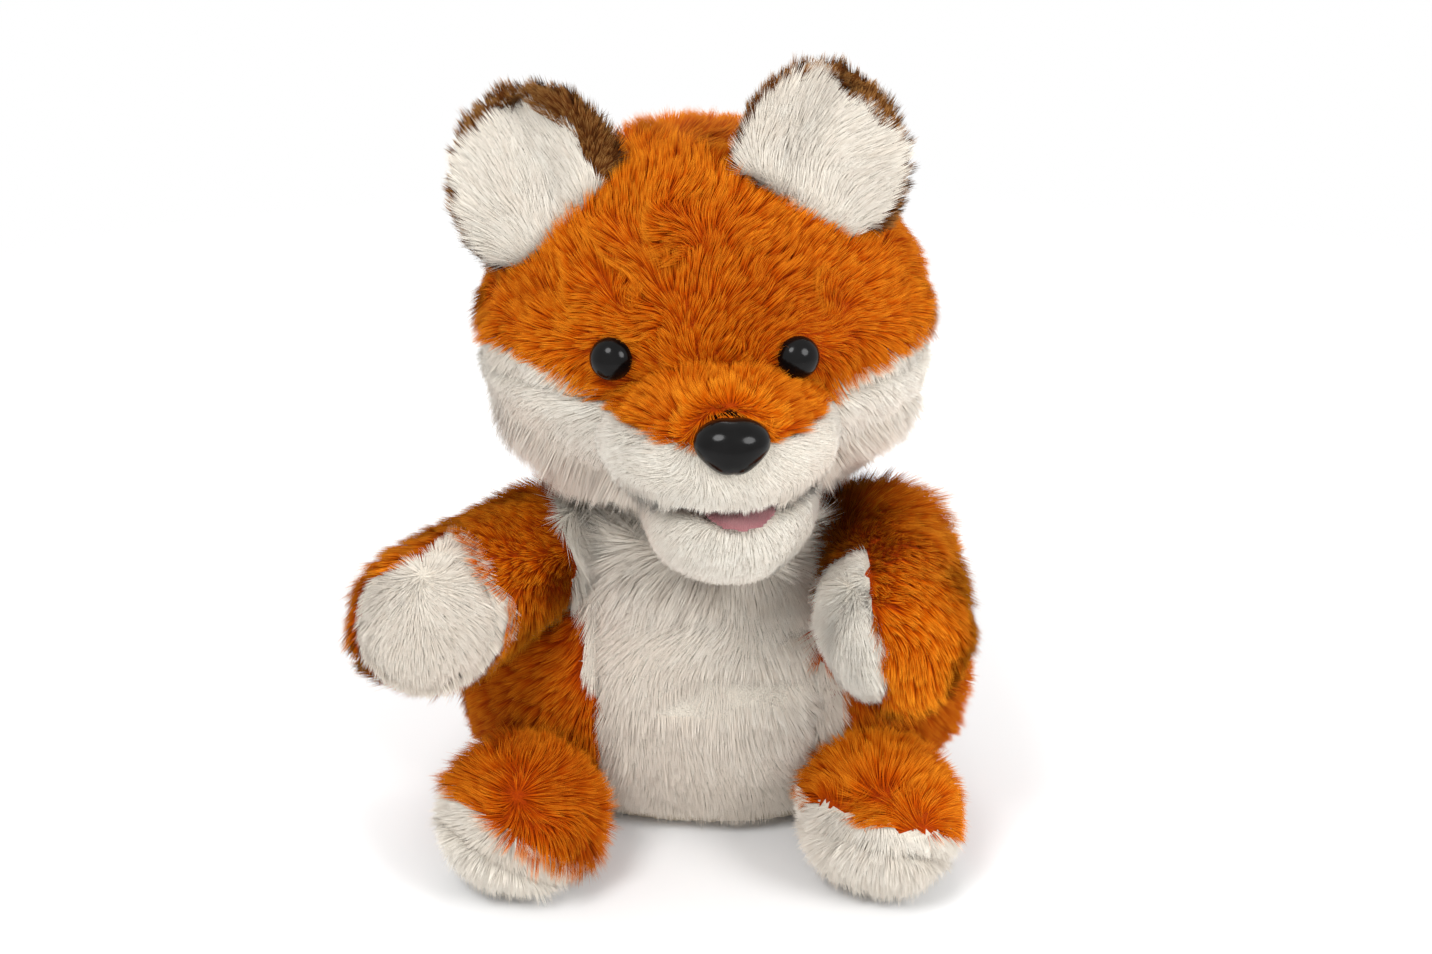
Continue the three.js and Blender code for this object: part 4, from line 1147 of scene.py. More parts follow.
@dataclass
class Hide:
    """A body part covered by fur panels, with the way each is brushed."""

    shop: Workshop
    body: str

    def flow(self, panel: Panel, points: Points) -> Points:
        """The way a panel's fur is brushed at the points: down, unless a part says otherwise."""
        return np.tile(DOWN, (len(points), 1))

    def trim(self, panel: Panel, points: Points) -> np.ndarray:
        """The share of its length that a panel's fur has at the points: all of it."""
        return np.ones(len(points))

    def press(self, panel: Panel, points: Points) -> np.ndarray:
        """How deep a panel's cloth is pressed in at the points, in metres: nowhere."""
        return np.zeros(len(points))

    def front(self, points: Points) -> np.ndarray:
        """Whether places show between the edges of the white front, which are ragged.

        Args:
            points: The places.

        Returns:
            True or false for each.
        """
        across, down = self.shop.seen(points).T
        across = across + 5 * drift(points, 5, 3)[:, 0]
        return (across > np.interp(down, *FRONT_RIGHT)) & (across < np.interp(down, *FRONT_LEFT))

    def cover(self, *panels: Panel) -> None:
        """Cuts, furs and dresses the panels in order.

        Args:
            *panels: The panels.
        """
        for panel in panels:
            slot = panel.slot or self.shop.slot(panel.node)
            self.shop.fabric(panel, self.press)
            plain = Patch("fur", slot, panel.pile, panel.plain)
            panel.fur += self.shop.coat.grow(panel, plain, self, panel.seed)
            for seed, patch in enumerate(panel.patches, panel.seed + 100):
                panel.fur += self.shop.coat.grow(panel, patch, self, seed)
            self.shop.finish(panel, self.body, slot)


@dataclass(frozen=True)
class Fold:
    """A soft fold across the belly."""

    middle: float
    height: float
    half: float
    slope: float
    depth: float
    reach: float  # up and down

    def deep(self, local: Points) -> np.ndarray:
        """How deep the fold is, in metres.

        Args:
            local: Places in millimetres of the puppet's own frame.

        Returns:
            One depth for each, less than 0 below the fold, where the cloth bulges.
        """
        across = local[:, 0] - self.middle
        off = local[:, 2] - self.height - self.slope * across + 1.2 * np.sin(across / 6)
        along = 1 - smoothstep(np.abs(across), 0.4 * self.half, self.half)
        bulge = 0.35 * np.exp(-((off + 8) / 5) ** 2)
        return self.depth * MM * along * (np.exp(-(off / self.reach) ** 2) - bulge)


@dataclass
class Torso(Hide):
    """Belly panel and the two side panels that meet at the back."""

    middle_x: float = 2.0
    front_y: float = -2.0  # behind it nothing is white
    ruff_foot: float = 90.0
    collar_foot: float = 102.0
    combed: tuple[float, float] = (88.0, 108.0)  # where the fur begins to go sideways, and does so fully
    upright: tuple[float, float] = (100.0, 112.0)  # where it begins to stand up, and does so fully
    behind: tuple[float, float] = (20.0, 45.0)  # where the back begins, behind the middle, and is reached
    aside: float = 0.45  # how much the fur goes sideways
    aside_ruff: float = 1.3  # and more in the ruff
    folds: tuple[Fold, ...] = (
        Fold(14.0, 64.0, 30.0, 0.05, 3.8, 4.4),
        Fold(27.0, 82.0, 15.0, 0.15, 1.8, 3.0),
        Fold(-18.0, 44.0, 16.0, -0.1, 1.2, 4.0),
    )

    def _bib(self, points: Points) -> np.ndarray:
        """Whether places lie on the white front."""
        return self.front(points) & (points[:, 1] < self.shop.frame.at(0, self.front_y, 0)[1])

    def _collar(self, points: Points) -> np.ndarray:
        """Whether places lie at the top of the ruff, where it fills the space under the cheeks."""
        return self._bib(points) & (points[:, 2] > self.collar_foot * MM)

    def _ruff(self, points: Points) -> np.ndarray:
        """Whether places lie on the white ruff of longer fur."""
        return self._bib(points) & (points[:, 2] > self.ruff_foot * MM) & ~self._collar(points)

    def _lower(self, points: Points) -> np.ndarray:
        """Whether places lie on the white front below the ruff."""
        return self._bib(points) & (points[:, 2] <= self.ruff_foot * MM)

    def flow(self, panel: Panel, points: Points) -> Points:
        """Down and a little outwards, more so in the ruff, and up at the front's top.

        Args:
            panel: The panel, which is not used.
            points: Places on it.

        Returns:
            The way that its fur is brushed at each.
        """
        middle = self.shop.frame.at(self.middle_x, 0, 0)
        ruff = rises(points[:, 2], *self.combed)[:, None]
        behind = rises(points[:, 1] - middle[1], *self.behind)[:, None]
        across = sideways(points, middle, 60) * (self.aside + self.aside_ruff * ruff) * (1 - behind)
        across += self.aside * behind
        top = rises(points[:, 2], *self.upright)[:, None] * (1 - behind)
        down = np.array([0.0, 0.1, -1.0]) * (1 - top) + np.array([0.0, -0.4, 1.0]) * top
        return across * (1 - 0.6 * top) * ASIDE + down

    def press(self, panel: Panel, points: Points) -> np.ndarray:
        """The soft folds across the belly's front, deep as they are at the points."""
        local = self.shop.frame.local(points)
        return sum(fold.deep(local) for fold in self.folds) * (local[:, 1] < -10)

    def build(self) -> None:
        """Covers the body."""
        white = (
            Patch("front_fur", "white_fur", BIB, self._lower),
            Patch("ruff_fur", "white_fur", RUFF, self._ruff),
            Patch("collar_fur", "white_fur", COLLAR, self._collar),
        )
        self.cover(
            Panel("belly_panel", BIB, 11, fill=0.5, patches=white[1:], swell=2.0),
            Panel("side_panel_right", SHADED_SIDE, 12, fill=0.5, patches=white, swell=2.0, seam=4.0),
            Panel("side_panel_left", SHADED_SIDE, 13, fill=0.5, patches=white, swell=2.0, seam=4.0),
        )


@dataclass
class Joint(Hide):
    """A cloth band or gusset at a joint, furred where it shows."""

    node: str
    seed: int
    front_y: float = -8.0  # behind it nothing is white

    def _chest(self, points: Points) -> np.ndarray:
        """Whether places lie on the white front of the neck or the shoulder."""
        return self.front(points) & (points[:, 1] < self.shop.frame.at(0, self.front_y, 0)[1])

    def build(self) -> None:
        """Covers the band or gusset."""
        chest = Patch("front_fur", "white_fur", NECK_FRONT, self._chest)
        self.cover(Panel(
            self.node, NECK, self.seed, voxel=1.2 if self.node.startswith("neck") else 0.9, smoothing=3,
            slot="orange_fur", patches=() if self.node.startswith("tail") else (chest,), seam=0.6,
        ))


@dataclass
class Head(Hide):
    """Crown, cheeks, nape and muzzle."""

    brow: float = 17.0  # from the nose's middle
    fringe: tuple[float, float] = (20.0, 14.0)  # how high it is, and how much higher at the sides
    white_rise: tuple = ((36, 48, 60, 78), (0.0, 4.0, 6.5, 10.0))  # how far aside, and how high there
    mouth_x: float = 9.0

    def _rise(self, points: Points) -> np.ndarray:
        """How far the white of the cheeks climbs above its panel, towards the sides of the head."""
        x, y, _ = self.shop.frame.local(points).T
        return MM * (1 - smoothstep(y, 0, 45)) * np.interp(np.abs(x - NECK_AT[0]), *self.white_rise)

    def _mask(self, points: Points) -> np.ndarray:
        """Whether places on the crown belong to the white of the cheeks.

        Args:
            points: The places.

        Returns:
            True or false for each.
        """
        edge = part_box("cheek_panel_right")[1].z + 0.8 * MM * drift(points, 5, 9)[:, 0]
        rise = self._rise(points)
        return (rise > 0.5 * MM) & (points[:, 2] < edge + rise)

    def _brow(self, points: Points) -> np.ndarray:
        """Whether places lie just above the nose, where the fur falls evenly over its edge."""
        nose = self.shop.frame.middle("nose")
        return (distance(points, nose) < self.brow * MM) & ((points - nose)[:, 2] > 0)

    def _fringe(self, points: Points) -> np.ndarray:
        """Whether places lie along the cheeks' lower edge, where the fur hangs over the ruff.

        Args:
            points: The places.

        Returns:
            True or false for each.
        """
        height, more = self.fringe
        aside = np.abs(points[:, 0] - self.shop.frame.at(0, 0, 0)[0])
        edge = height * MM + more * MM * rises(aside, 30, 66) + 1.5 * MM * drift(points, 6, 12)[:, 0]
        return (points[:, 2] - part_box("cheek_panel_right")[0].z < edge) & (aside > 18 * MM)

    def flow(self, panel: Panel, points: Points) -> Points:
        """Away from the nose over the head, and down over the cheeks' edge, the lip and the nape.

        Args:
            panel: The panel.
            points: Places on it.

        Returns:
            The way that its fur is brushed at each.
        """
        frame = self.shop.frame
        middle, nose = (frame.middle("eye_right") + frame.middle("eye_left")) / 2, frame.middle("nose")
        low, high = (corner.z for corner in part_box("cheek_panel_right"))
        away = unit(points - (nose + np.array([0.0, 8.0, 4.0]) * MM))
        aside = np.abs(points[:, :1] - middle[0])
        side = sideways(points, middle, 18) * ASIDE
        if panel.node.startswith("cheek"):
            hang = fades(points[:, 2] - low, 14, 40)[:, None]
            return away * 0.4 * (1 - hang) + side * (0.45 - 0.2 * hang) + 0.8 * DOWN * (1 + hang)
        if panel.node == "muzzle_lip_panel":
            edge = fades(points[:, 2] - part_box(panel.node)[0].z, 2, 14)[:, None]
            return side * 0.7 * (1 - edge) + DOWN * (0.4 + edge)
        if panel.node == "muzzle_bridge_panel":
            near = fades(distance(points, nose), 11, 15)[:, None]
            back = away * 0.8 + side * rises(aside, 6, 26) * 0.8 + np.array([0, 0.5, 0.15])
            return back * (1 - near) + (side * 1.1 + np.array([0, -0.45, -0.3])) * near
        down = np.array([0.0, 0.2, -1.0])
        back = rises(points[:, 1] - middle[1], 25, 75)[:, None]
        hem = fades(points[:, 2] - high - self._rise(points), 2, 16)[:, None] * rises(aside, 24, 38)
        return (away * (1 - 0.9 * hem) + (down + side * 0.5) * hem) * (1 - back) + down * back

    def trim(self, panel: Panel, points: Points) -> np.ndarray:
        """Shorter beside the eyes and the nose, longer at the ears, the cheeks' edges and the lip's corners.

        Args:
            panel: The panel.
            points: Places on it.

        Returns:
            The share of its length that its fur has at each.
        """
        frame, share = self.shop.frame, np.ones(len(points))
        low, high = (corner.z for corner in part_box("cheek_panel_right"))
        bridge = panel.node == "muzzle_bridge_panel"
        if panel.node.startswith("cheek"):
            share += 0.35 * fades(points[:, 2] - low, 22, 34)
        if panel.node == "crown_panel":
            share += 0.7 * fades(points[:, 2] - high, 1, 9)
            for side in Side:
                share += 0.45 * fades(distance(points, frame.middle(f"ear_{side.value}_front")), 24, 40)
        if bridge:
            share += 0.8 * fades(distance(points, frame.middle("eye_right")), 9, 20)
        for node, radius, least in (
            ("nose", 9.0, 1.0 if bridge else 0.5),
            *((f"eye_{side.value}", 5.5, 0.6) for side in Side if not bridge),
        ):
            near = rises(distance(points, frame.middle(node)), radius, radius + 5.0)
            share = np.minimum(share, least + (1 - least) * near)
        if panel.node == "muzzle_lip_panel":
            edge = fades(points[:, 2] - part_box(panel.node)[0].z, 1, 7)
            corner = rises(np.abs(points[:, 0] - frame.at(self.mouth_x, 0, 0)[0]), 13, 19)
            share *= 1 + edge * (0.2 * np.abs(drift(points, 3, 8)[:, 0]) - 0.1 + 1.2 * corner)
        return share

    def build(self) -> None:
        """Covers the head."""
        mask = (Patch("mask_fur", "white_fur", CHEEK, self._mask),)
        fringe = (Patch("fringe_fur", "white_fur", FRINGE, self._fringe),)
        brow = (Patch("brow_fur", "orange_fur", BROW, self._brow),)
        self.cover(
            Panel("crown_panel", HEAD, 21, patches=mask, seam=3.2),
            Panel("cheek_panel_right", CHEEK, 22, patches=fringe, seam=3.2),
            Panel("cheek_panel_left", CHEEK, 23, patches=fringe, seam=3.2),
            Panel("nape_panel", HEAD, 24),
            Panel("muzzle_bridge_panel", BRIDGE, 25, patches=brow, over=("nose", "eye_right"), seam=3.2),
            Panel("muzzle_lip_panel", SHORN, 26, seam=3.2),
        )


@dataclass
class Jaw(Hide):
    """The chin, which the thumb moves."""

    mouth_x: float = 8.5
    tuck: float = 3.2  # how far the lower lip turns in

    def _rim(self, points: Points) -> np.ndarray:
        """How near places lie to the chin's upper edge, from 0 to 1."""
        return rises(points[:, 2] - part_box("chin_panel")[1].z, -9, -3)

    def _corner(self, points: Points) -> np.ndarray:
        """How near places lie to the mouth's corners, from 0 to 1."""
        return rises(np.abs(points[:, 0] - self.shop.frame.at(self.mouth_x, 0, 0)[0]), 16, 22)

    def flow(self, panel: Panel, points: Points) -> Points:
        """Down, and up at the mouth's corners.

        Args:
            panel: The panel, which is not used.
            points: Places on it.

        Returns:
            The way that its fur is brushed at each.
        """
        middle = self.shop.frame.middle("chin_panel")
        rim = (self._rim(points) * self._corner(points))[:, None]
        return DOWN * (1 - 2 * rim) + sideways(points, middle, 20) * 0.5 * ASIDE * (1 - rim)

    def trim(self, panel: Panel, points: Points) -> np.ndarray:
        """Longer at the corners of the mouth, so that they close."""
        return 1 + self._rim(points) * (1.6 * self._corner(points) - 0.6)

    def press(self, panel: Panel, points: Points) -> np.ndarray:
        """The lower lip turns in between the corners."""
        return self.tuck * MM * self._rim(points) * (1 - self._corner(points))

    def build(self) -> None:
        """Covers the chin."""
        self.cover(Panel("chin_panel", SHORN, 31))


@dataclass
class Paired(Hide):
    """A body part that the puppet has on both sides, whose nodes' names begin with the body's."""

    side: Side

    def middle(self, piece: str) -> np.ndarray:
        """The middle of one of its nodes, in metres."""
        return self.shop.frame.middle(f"{self.body}_{piece}")


@dataclass
class Ear(Paired):
    """One ear: brown behind, cream in front."""

    base: tuple[float, float] = (12.0, 6.0)  # inwards from its middle and below its foot
    hollow: float = 3.0
    hollow_half: float = 7.0
    hollow_slant: float = 0.45
    hollow_in: float = 3.0  # inwards from its middle

    def flow(self, panel: Panel, points: Points) -> Points:
        """From the ear's base to its rim.

        Args:
            panel: The panel, which is not used.
            points: Places on it.

        Returns:
            The way that its fur is brushed at each.
        """
        low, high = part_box(f"{self.body}_back")
        inwards, below = self.base
        across = (low.x + high.x) / 2 - self.side.out * inwards * MM
        return unit(points - np.array([across, (low.y + high.y) / 2, low.z - below * MM]))

    def press(self, panel: Panel, points: Points) -> np.ndarray:
        """A soft hollow up the inside of the ear.

        Args:
            panel: The panel.
            points: Places on it.

        Returns:
            How deep its cloth is pressed in at each, in metres.
        """
        low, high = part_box(f"{self.body}_front")
        middle = (low.x + high.x) / 2 - self.side.out * self.hollow_in * MM
        slant = self.side.out * self.hollow_slant * (points[:, 2] - (low.z + high.z) / 2)
        off = (points[:, 0] - middle - slant) / (self.hollow_half * MM)
        return panel.node.endswith("front") * self.hollow * MM * np.exp(-off ** 2)

    def _rim(self, points: Points) -> np.ndarray:
        """Whether places on the front lie where the brown back folds over the rim.

        Args:
            points: The places.

        Returns:
            True or false for each.
        """
        edge = self.shop.seen(coordinates(self.shop.frame.nodes[f"{self.body}_back"]))
        low, high = edge.min(axis=0), edge.max(axis=0)
        flat = (self.shop.seen(points) - (low + high) / 2) / ((high - low) / 2)
        out = np.hypot(flat[:, 0], flat[:, 1])
        turn = np.degrees(np.arctan2(-flat[:, 1], flat[:, 0]))
        return out > 1 - np.interp(turn, *EAR_RIMS[self.side]) + 0.04 * drift(points, 4, 5)[:, 0]

    def build(self) -> None:
        """Covers both halves."""
        first = self.side.seed(41)
        rim = (Patch("rim_fur", "brown_fur", EAR_BACK, self._rim),)
        self.cover(
            Panel(f"{self.body}_back", EAR_BACK, first, voxel=1.5, fill=0.3),
            Panel(f"{self.body}_front", EAR_FRONT, first + 1, voxel=1.5, fill=0.3, patches=rim),
        )


@dataclass
class Arm(Paired):
    """One stuffed arm: orange sleeve and short white palm."""

    ruff: float = 34.0  # how far from the shoulder's middle it may be white
    ruff_back: float = 4.0  # and how far behind it
    fuller: float = 0.6  # how much longer the fur is on the left shoulder
    oval: tuple[float, float] = (27.0, 30.0)  # half sizes of the left palm, back and up
    teardrop: tuple[float, float] = (25.0, 27.0)  # half sizes of the right palm, across and up
    peak: tuple[float, float] = (15.0, 24.0)  # half the width of its point, and how far back it reaches

    def flow(self, panel: Panel, points: Points) -> Points:
        """Along the sleeve to the paw, outwards over the palm, and down at the white shoulder.

        Args:
            panel: The panel.
            points: Places on it.

        Returns:
            The way that its fur is brushed at each.
        """
        paw, shoulder, out = self.middle("palm"), self.middle("gusset"), self.side.out
        palm = unit(points - paw) * 0.5 + 0.7 * DOWN
        if panel.node.endswith("palm"):
            return palm
        along = unit(paw - shoulder)
        reach = rises((points - shoulder) @ along, 0, 40)[:, None]
        sleeve = along * (0.25 + 0.5 * reach) + np.array([out * 0.7, 0.1, -0.35])
        sleeve = np.where(self._palm(points)[:, None], palm, sleeve)
        return np.where(self._ruff(points)[:, None], np.array([out * 0.45, -0.25, -0.9]), sleeve)

    def trim(self, panel: Panel, points: Points) -> np.ndarray:
        """Longer on top of the left shoulder.

        Args:
            panel: The panel, which is not used.
            points: Places on it.

        Returns:
            The share of its length that its fur has at each.
        """
        shoulder = self.middle("gusset")
        fuller = self.fuller if self.side is Side.LEFT else 0.0
        near = fades(distance(points, shoulder), 22, 44)
        return 1 + fuller * near * rises(points[:, 2] - shoulder[2], 4, 16)

    def _ruff(self, points: Points) -> np.ndarray:
        """Whether places on the shoulder belong to the white front.

        Args:
            points: The places.

        Returns:
            True or false for each.
        """
        shoulder = self.middle("gusset")
        near = distance(points, shoulder) < self.ruff * MM
        before = points[:, 1] < shoulder[1] + self.ruff_back * MM
        return self.front(points) & near & before & ~self._palm(points)

    def _palm(self, points: Points) -> np.ndarray:
        """Whether places on the sleeve belong to the palm: a teardrop on the right arm, an oval on the left.

        Args:
            points: The places.

        Returns:
            True or false for each.
        """
        x, y, z = ((points - self.middle("palm")) / MM).T
        ragged = 1 + 0.04 * drift(points, 4, 5)[:, 0]
        if self.side is Side.LEFT:
            back, up = self.oval
            return (np.hypot((y + 1) / back, z / up) < ragged) & (x < 4.5)
        across, up = self.teardrop
        half, reach = self.peak
        peak = (z > 8) & (y < reach) & (np.abs(x - 8) < half * (1 - np.maximum(y, 0) / reach))
        return ((np.hypot((x - 2.5) / across, (z + 1.5) / up) < ragged) & (y < 8)) | peak

    def build(self) -> None:
        """Covers the arm."""
        first = self.side.seed(51)
        left = self.side is Side.LEFT
        beside = ("belly_panel", "side_panel_left") if left else ()
        # The left palm's tone lightens it instead: painted light on a palm that faces the belly in shade.
        palm = replace(PALM, tone=0.3) if left else PALM
        white = (
            Patch("palm_fur", "white_fur", palm, self._palm),
            Patch("shoulder_fur", "white_fur", RUFF, self._ruff),
        )
        self.cover(
            Panel(f"{self.body}_sleeve", LONG, first, patches=white, swell=2.0, over=beside),
            Panel(f"{self.body}_palm", palm, first + 1, over=beside, seam=3.2),
        )


@dataclass
class Leg(Paired):
    """One stuffed foot: orange cover and short white sole."""

    whorl: tuple[float, float] = (12.0, 0.86)  # behind the toes, and the share of the foot's height
    floor: float = 0.45  # the share of its height below which the fur falls
    lean: float = 22.0  # degrees

    def flow(self, panel: Panel, points: Points) -> Points:
        """Outwards from a whorl on the toes.

        Args:
            panel: The panel, which is not used.
            points: Places on it.

        Returns:
            The way that its fur is brushed at each.
        """
        low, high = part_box(f"{self.body}_cover")
        behind, share = self.whorl
        whorl = np.array([(low.x + high.x) / 2, low.y + behind * MM, low.z + share * (high.z - low.z)])
        floor = low.z + self.floor * (high.z - low.z)
        falls = 1 - smoothstep(points[:, 2], floor - 10 * MM, floor + 4 * MM)[:, None]
        return unit(points - whorl) * (1 - 0.5 * falls) + 0.8 * DOWN * falls

    def _above(self, points: Points) -> np.ndarray:
        """How far places lie above the sole's line, which slants as the foot leans.

        Args:
            points: The places.

        Returns:
            Millimetres for each.
        """
        x, y, z = self.shop.frame.local(points).T
        lean = math.radians(self.lean)
        start, height, slope = SOLE_LINES[self.side]
        line = height + slope * (x - start)
        return z * math.cos(lean) + y * math.sin(lean) - line - 0.5 * drift(points, 5, 6)[:, 0]

    def _sole(self, points: Points) -> np.ndarray:
        """Whether places on the cover lie below the sole's line."""
        return self._above(points) < 0

    def trim(self, panel: Panel, points: Points) -> np.ndarray:
        """Orange fur hangs over the sole's line, and the white begins short under it.

        Args:
            panel: The panel.
            points: Places on it.

        Returns:
            The share of its length that its fur has at each.
        """
        if panel.node.endswith("sole"):
            return super().trim(panel, points)
        above = self._above(points)
        return 1 + 0.35 * np.tanh(above / 2.5) * np.exp(-np.abs(above) / 7)

    def build(self) -> None:
        """Covers the foot."""
        first = self.side.seed(61)
        sole = (Patch("sole_fur", "white_fur", SOLE, self._sole),)
        self.cover(
            Panel(f"{self.body}_cover", FOOT, first, patches=sole, swell=2.0, seam=3.2),
            Panel(f"{self.body}_sole", SOLE, first + 1, seam=3.2),
        )


@dataclass
class Tail(Hide):
    """The bushy tail with its white tip."""

    end: float = 40.0  # how far past the tip's middle the fur points

    def flow(self, panel: Panel, points: Points) -> Points:
        """From the root to the tip.

        Args:
            panel: The panel, which is not used.
            points: Places on it.

        Returns:
            The way that its fur is brushed at each.
        """
        tip = self.shop.frame.middle("tail_tip")
        along = unit(tip - self.shop.frame.middle("tail_gusset"))
        return unit(tip + along * self.end * MM - points)

    def build(self) -> None:
        """Covers the tail."""
        self.cover(
            Panel("tail_cover", BRUSH, 71),
            # The white tip's tone lightens it: painted light over the shade on its rim.
            Panel("tail_tip", replace(BRUSH, soft=0.94, tone=0.2), 72),
        )


# Eyes, nose and what is inside


def cut_ball(
    segments: int, rings: int, radius: float, height: float, squash: float = 1.0,
) -> bpy.types.Object:
    """A ball cut flat at a height, with its foot closed.

    Args:
        segments: Its faces round.
        rings: Its faces up.
        radius: Its radius, in metres.
        height: Where it is cut, in metres from its middle.
        squash: Its height's share of a ball's.

    Returns:
        The upper part.
    """
    deselect()
    bpy.ops.mesh.primitive_uv_sphere_add(segments=segments, ring_count=rings, radius=radius)
    edit_all()
    bpy.ops.mesh.bisect(plane_co=(0, 0, height), plane_no=(0, 0, -1), use_fill=True, clear_outer=True)
    if squash != 1.0:
        bpy.ops.mesh.select_all(action="SELECT")
        bpy.ops.transform.resize(value=(1, 1, squash))
    bpy.ops.object.mode_set(mode="OBJECT")
    return bpy.context.active_object


@dataclass
class SafetyPart:
    """A moulded plastic eye or nose: its front, and the shank that holds its washer behind the cloth."""

    shop: Workshop
    node: str
    shank_radius: float = 2.2
    shank_length: float = 11.0
    washer_depth: float = 6.2  # washer's middle behind the seat

    def seat(self) -> tuple[np.ndarray, Vector]:
        """Where it sits on the cloth and the way it faces, from its washer.

        Returns:
            The place in metres, and the direction.
        """
        points = coordinates(self.shop.frame.nodes[f"{self.node}_washer"])
        middle = points.mean(axis=0)
        axis = np.linalg.eigh(np.cov((points - middle).T))[1][:, 0]
        axis *= np.sign(axis @ (self.shop.frame.middle(self.node) - middle))
        return middle + axis * self.washer_depth * MM, Vector(axis)

    def place(self, piece: bpy.types.Object, name: str) -> None:
        """Joins the shank, moves the piece to its seat and dresses it.

        Args:
            piece: The front, modelled about the origin and facing up.
            name: The finished piece's name.
        """
        deselect()
        bpy.ops.mesh.primitive_cylinder_add(
            vertices=24, radius=self.shank_radius * MM, depth=self.shank_length * MM,
            location=(0, 0, -self.shank_length / 2 * MM),
        )
        shank = bpy.context.active_object
        choose(piece)
        shank.select_set(True)
        bpy.ops.object.join()
        spot, axis = self.seat()
        turn = axis.to_track_quat("Z", "Y").to_matrix().to_4x4()
        turn.translation = Vector(spot)
        piece.data.transform(turn)
        piece.name = name
        choose(piece)
        bpy.ops.object.shade_smooth_by_angle(angle=math.radians(40))
        self.shop.stand_in(piece, self.node, "black_plastic")


@dataclass
class SafetyEye(SafetyPart):
    """A glossy dome."""

    radius: float = 7.0
    rise: float = 5.6
    foot: float = 0.2  # how far it goes on below its widest

    def build(self) -> None:
        """Models the dome: a ball cut below its middle, with a rounded foot."""
        dome = cut_ball(40, 24, self.radius * MM, -self.foot * MM, self.rise / self.radius)
        self.place(dome, f"{self.node}_dome")


@dataclass
class Nose(SafetyPart):
    """A rounded triangle, flatter on top and narrower at its foot."""

    half: tuple[float, float, float] = (11.8, 8.7, 8.0)  # across, up, forwards
    drop: float = 1.0
    proud: float = 1.2
    lift: float = 22.0  # degrees that it looks up, as the muzzle slopes under it
    foot: float = 0.34
    top: float = 0.1

    def build(self) -> None:
        """Models the nose: a ball, cut behind, squared and narrowed."""
        button = cut_ball(48, 32, 1, -self.proud / self.half[2])
        points = coordinates(button)
        across, up = points[:, 0].copy(), points[:, 1].copy()
        narrow = 1 - np.where(up < 0, self.foot * smoothstep(-up, -0.1, 1.0), self.top * up)
        fuller = 1 + 0.1 * np.abs(across * up) * 2
        points[:, 0] = across * narrow * fuller
        points[:, 1] = up * np.where(up > 0, 0.92, 1.06) * fuller
        put(button, points * np.array(self.half) * MM + np.array([0, -self.drop * MM, self.proud * MM]))
        button.data.transform(Matrix.Rotation(math.radians(-self.lift), 4, "X"))
        self.place(button, "nose_button")


@dataclass
class Linings:
    """The cloth pieces that a hand meets, and the mouth, with the size of each one's faces."""

    shop: Workshop
    lining: dict = field(default_factory=lambda: {
        "glove_lining": 1.1, "bottom_hem": 1.2, "finger_pocket": 1.0, "thumb_pocket": 0.9,
    })
    mouth: dict = field(default_factory=lambda: {"palate_lining": 0.7, "mouth_floor_lining": 0.7})
    tongue: dict = field(default_factory=lambda: {"tongue": 0.6})

    def build(self) -> None:
        """Remakes each cloth piece."""
        for finish, pieces in ((LINING, self.lining), (MOUTH, self.mouth), (TONGUE, self.tongue)):
            for node, voxel in pieces.items():
                self.shop.soft(node, finish.slot, voxel)


@dataclass
class Stuffing:
    """The fibre filling of every part, and the washers in it."""

    shop: Workshop
    voxel: float = 2.4

    def build(self) -> None:
        """Remakes each filling, and gives the washers their plastic."""
        for node, part in self.shop.frame.nodes.items():
            if node.endswith(("_filling", "_wadding")):
                self.shop.soft(node, "fibre_filling", self.voxel, 3)
            if node.endswith("_washer"):
                part.data.materials.clear()
                part.data.materials.append(self.shop.finishes.flat["black_plastic"])


# The room


@dataclass
class PhotoCamera:
    """The photograph's point of view."""

    frame: Frame
    target: tuple[float, float, float] = (5.0, 0.0, 122.0)
    distance: float = 700.0
    elevation: float = 22.0
    lens: float = 50.0

    def seen(self, points: Points) -> Points:
        """Where the points show in the photograph.

        Args:
            points: Places in metres.

        Returns:
            Pixels across and down.
        """
        tilt = math.radians(self.elevation)
        local = (points - self.frame.at(*self.target)) / MM
        up = local[:, 1] * math.sin(tilt) + local[:, 2] * math.cos(tilt)
        near = local[:, 2] * math.sin(tilt) - local[:, 1] * math.cos(tilt)
        scale = PHOTO[0] * self.lens / SENSOR / (self.distance - near)
        return np.stack([PHOTO[0] / 2 + local[:, 0] * scale, PHOTO[1] / 2 - up * scale], 1)

    def build(self) -> None:
        """Places the camera and makes it the scene's."""
        data = bpy.data.cameras.new("photo_camera")
        data.lens, data.sensor_width = self.lens, SENSOR
        camera = linked("photo_camera", data)
        tilt = math.radians(self.elevation)
        back = Vector((0, -math.cos(tilt), math.sin(tilt)))
        camera.location = Vector(self.frame.at(*self.target)) + back * self.distance * MM
        camera.rotation_euler = (-back).to_track_quat("-Z", "Y").to_euler()
        bpy.context.scene.camera = camera


@dataclass(frozen=True)
class Lamp:
    """A soft round lamp, in metres and watts."""

    name: str
    place: tuple[float, float, float]
    size: float
    power: float

    def build(self, aim: Vector) -> None:
        """Hangs the lamp so that it faces a point.

        Args:
            aim: The point.
        """
        data = bpy.data.lights.new(self.name, "AREA")
        data.shape, data.size, data.energy = "DISK", self.size, self.power
        lamp = linked(self.name, data)
        lamp.location = self.place
        lamp.rotation_euler = (aim - Vector(self.place)).to_track_quat("-Z", "Y").to_euler()


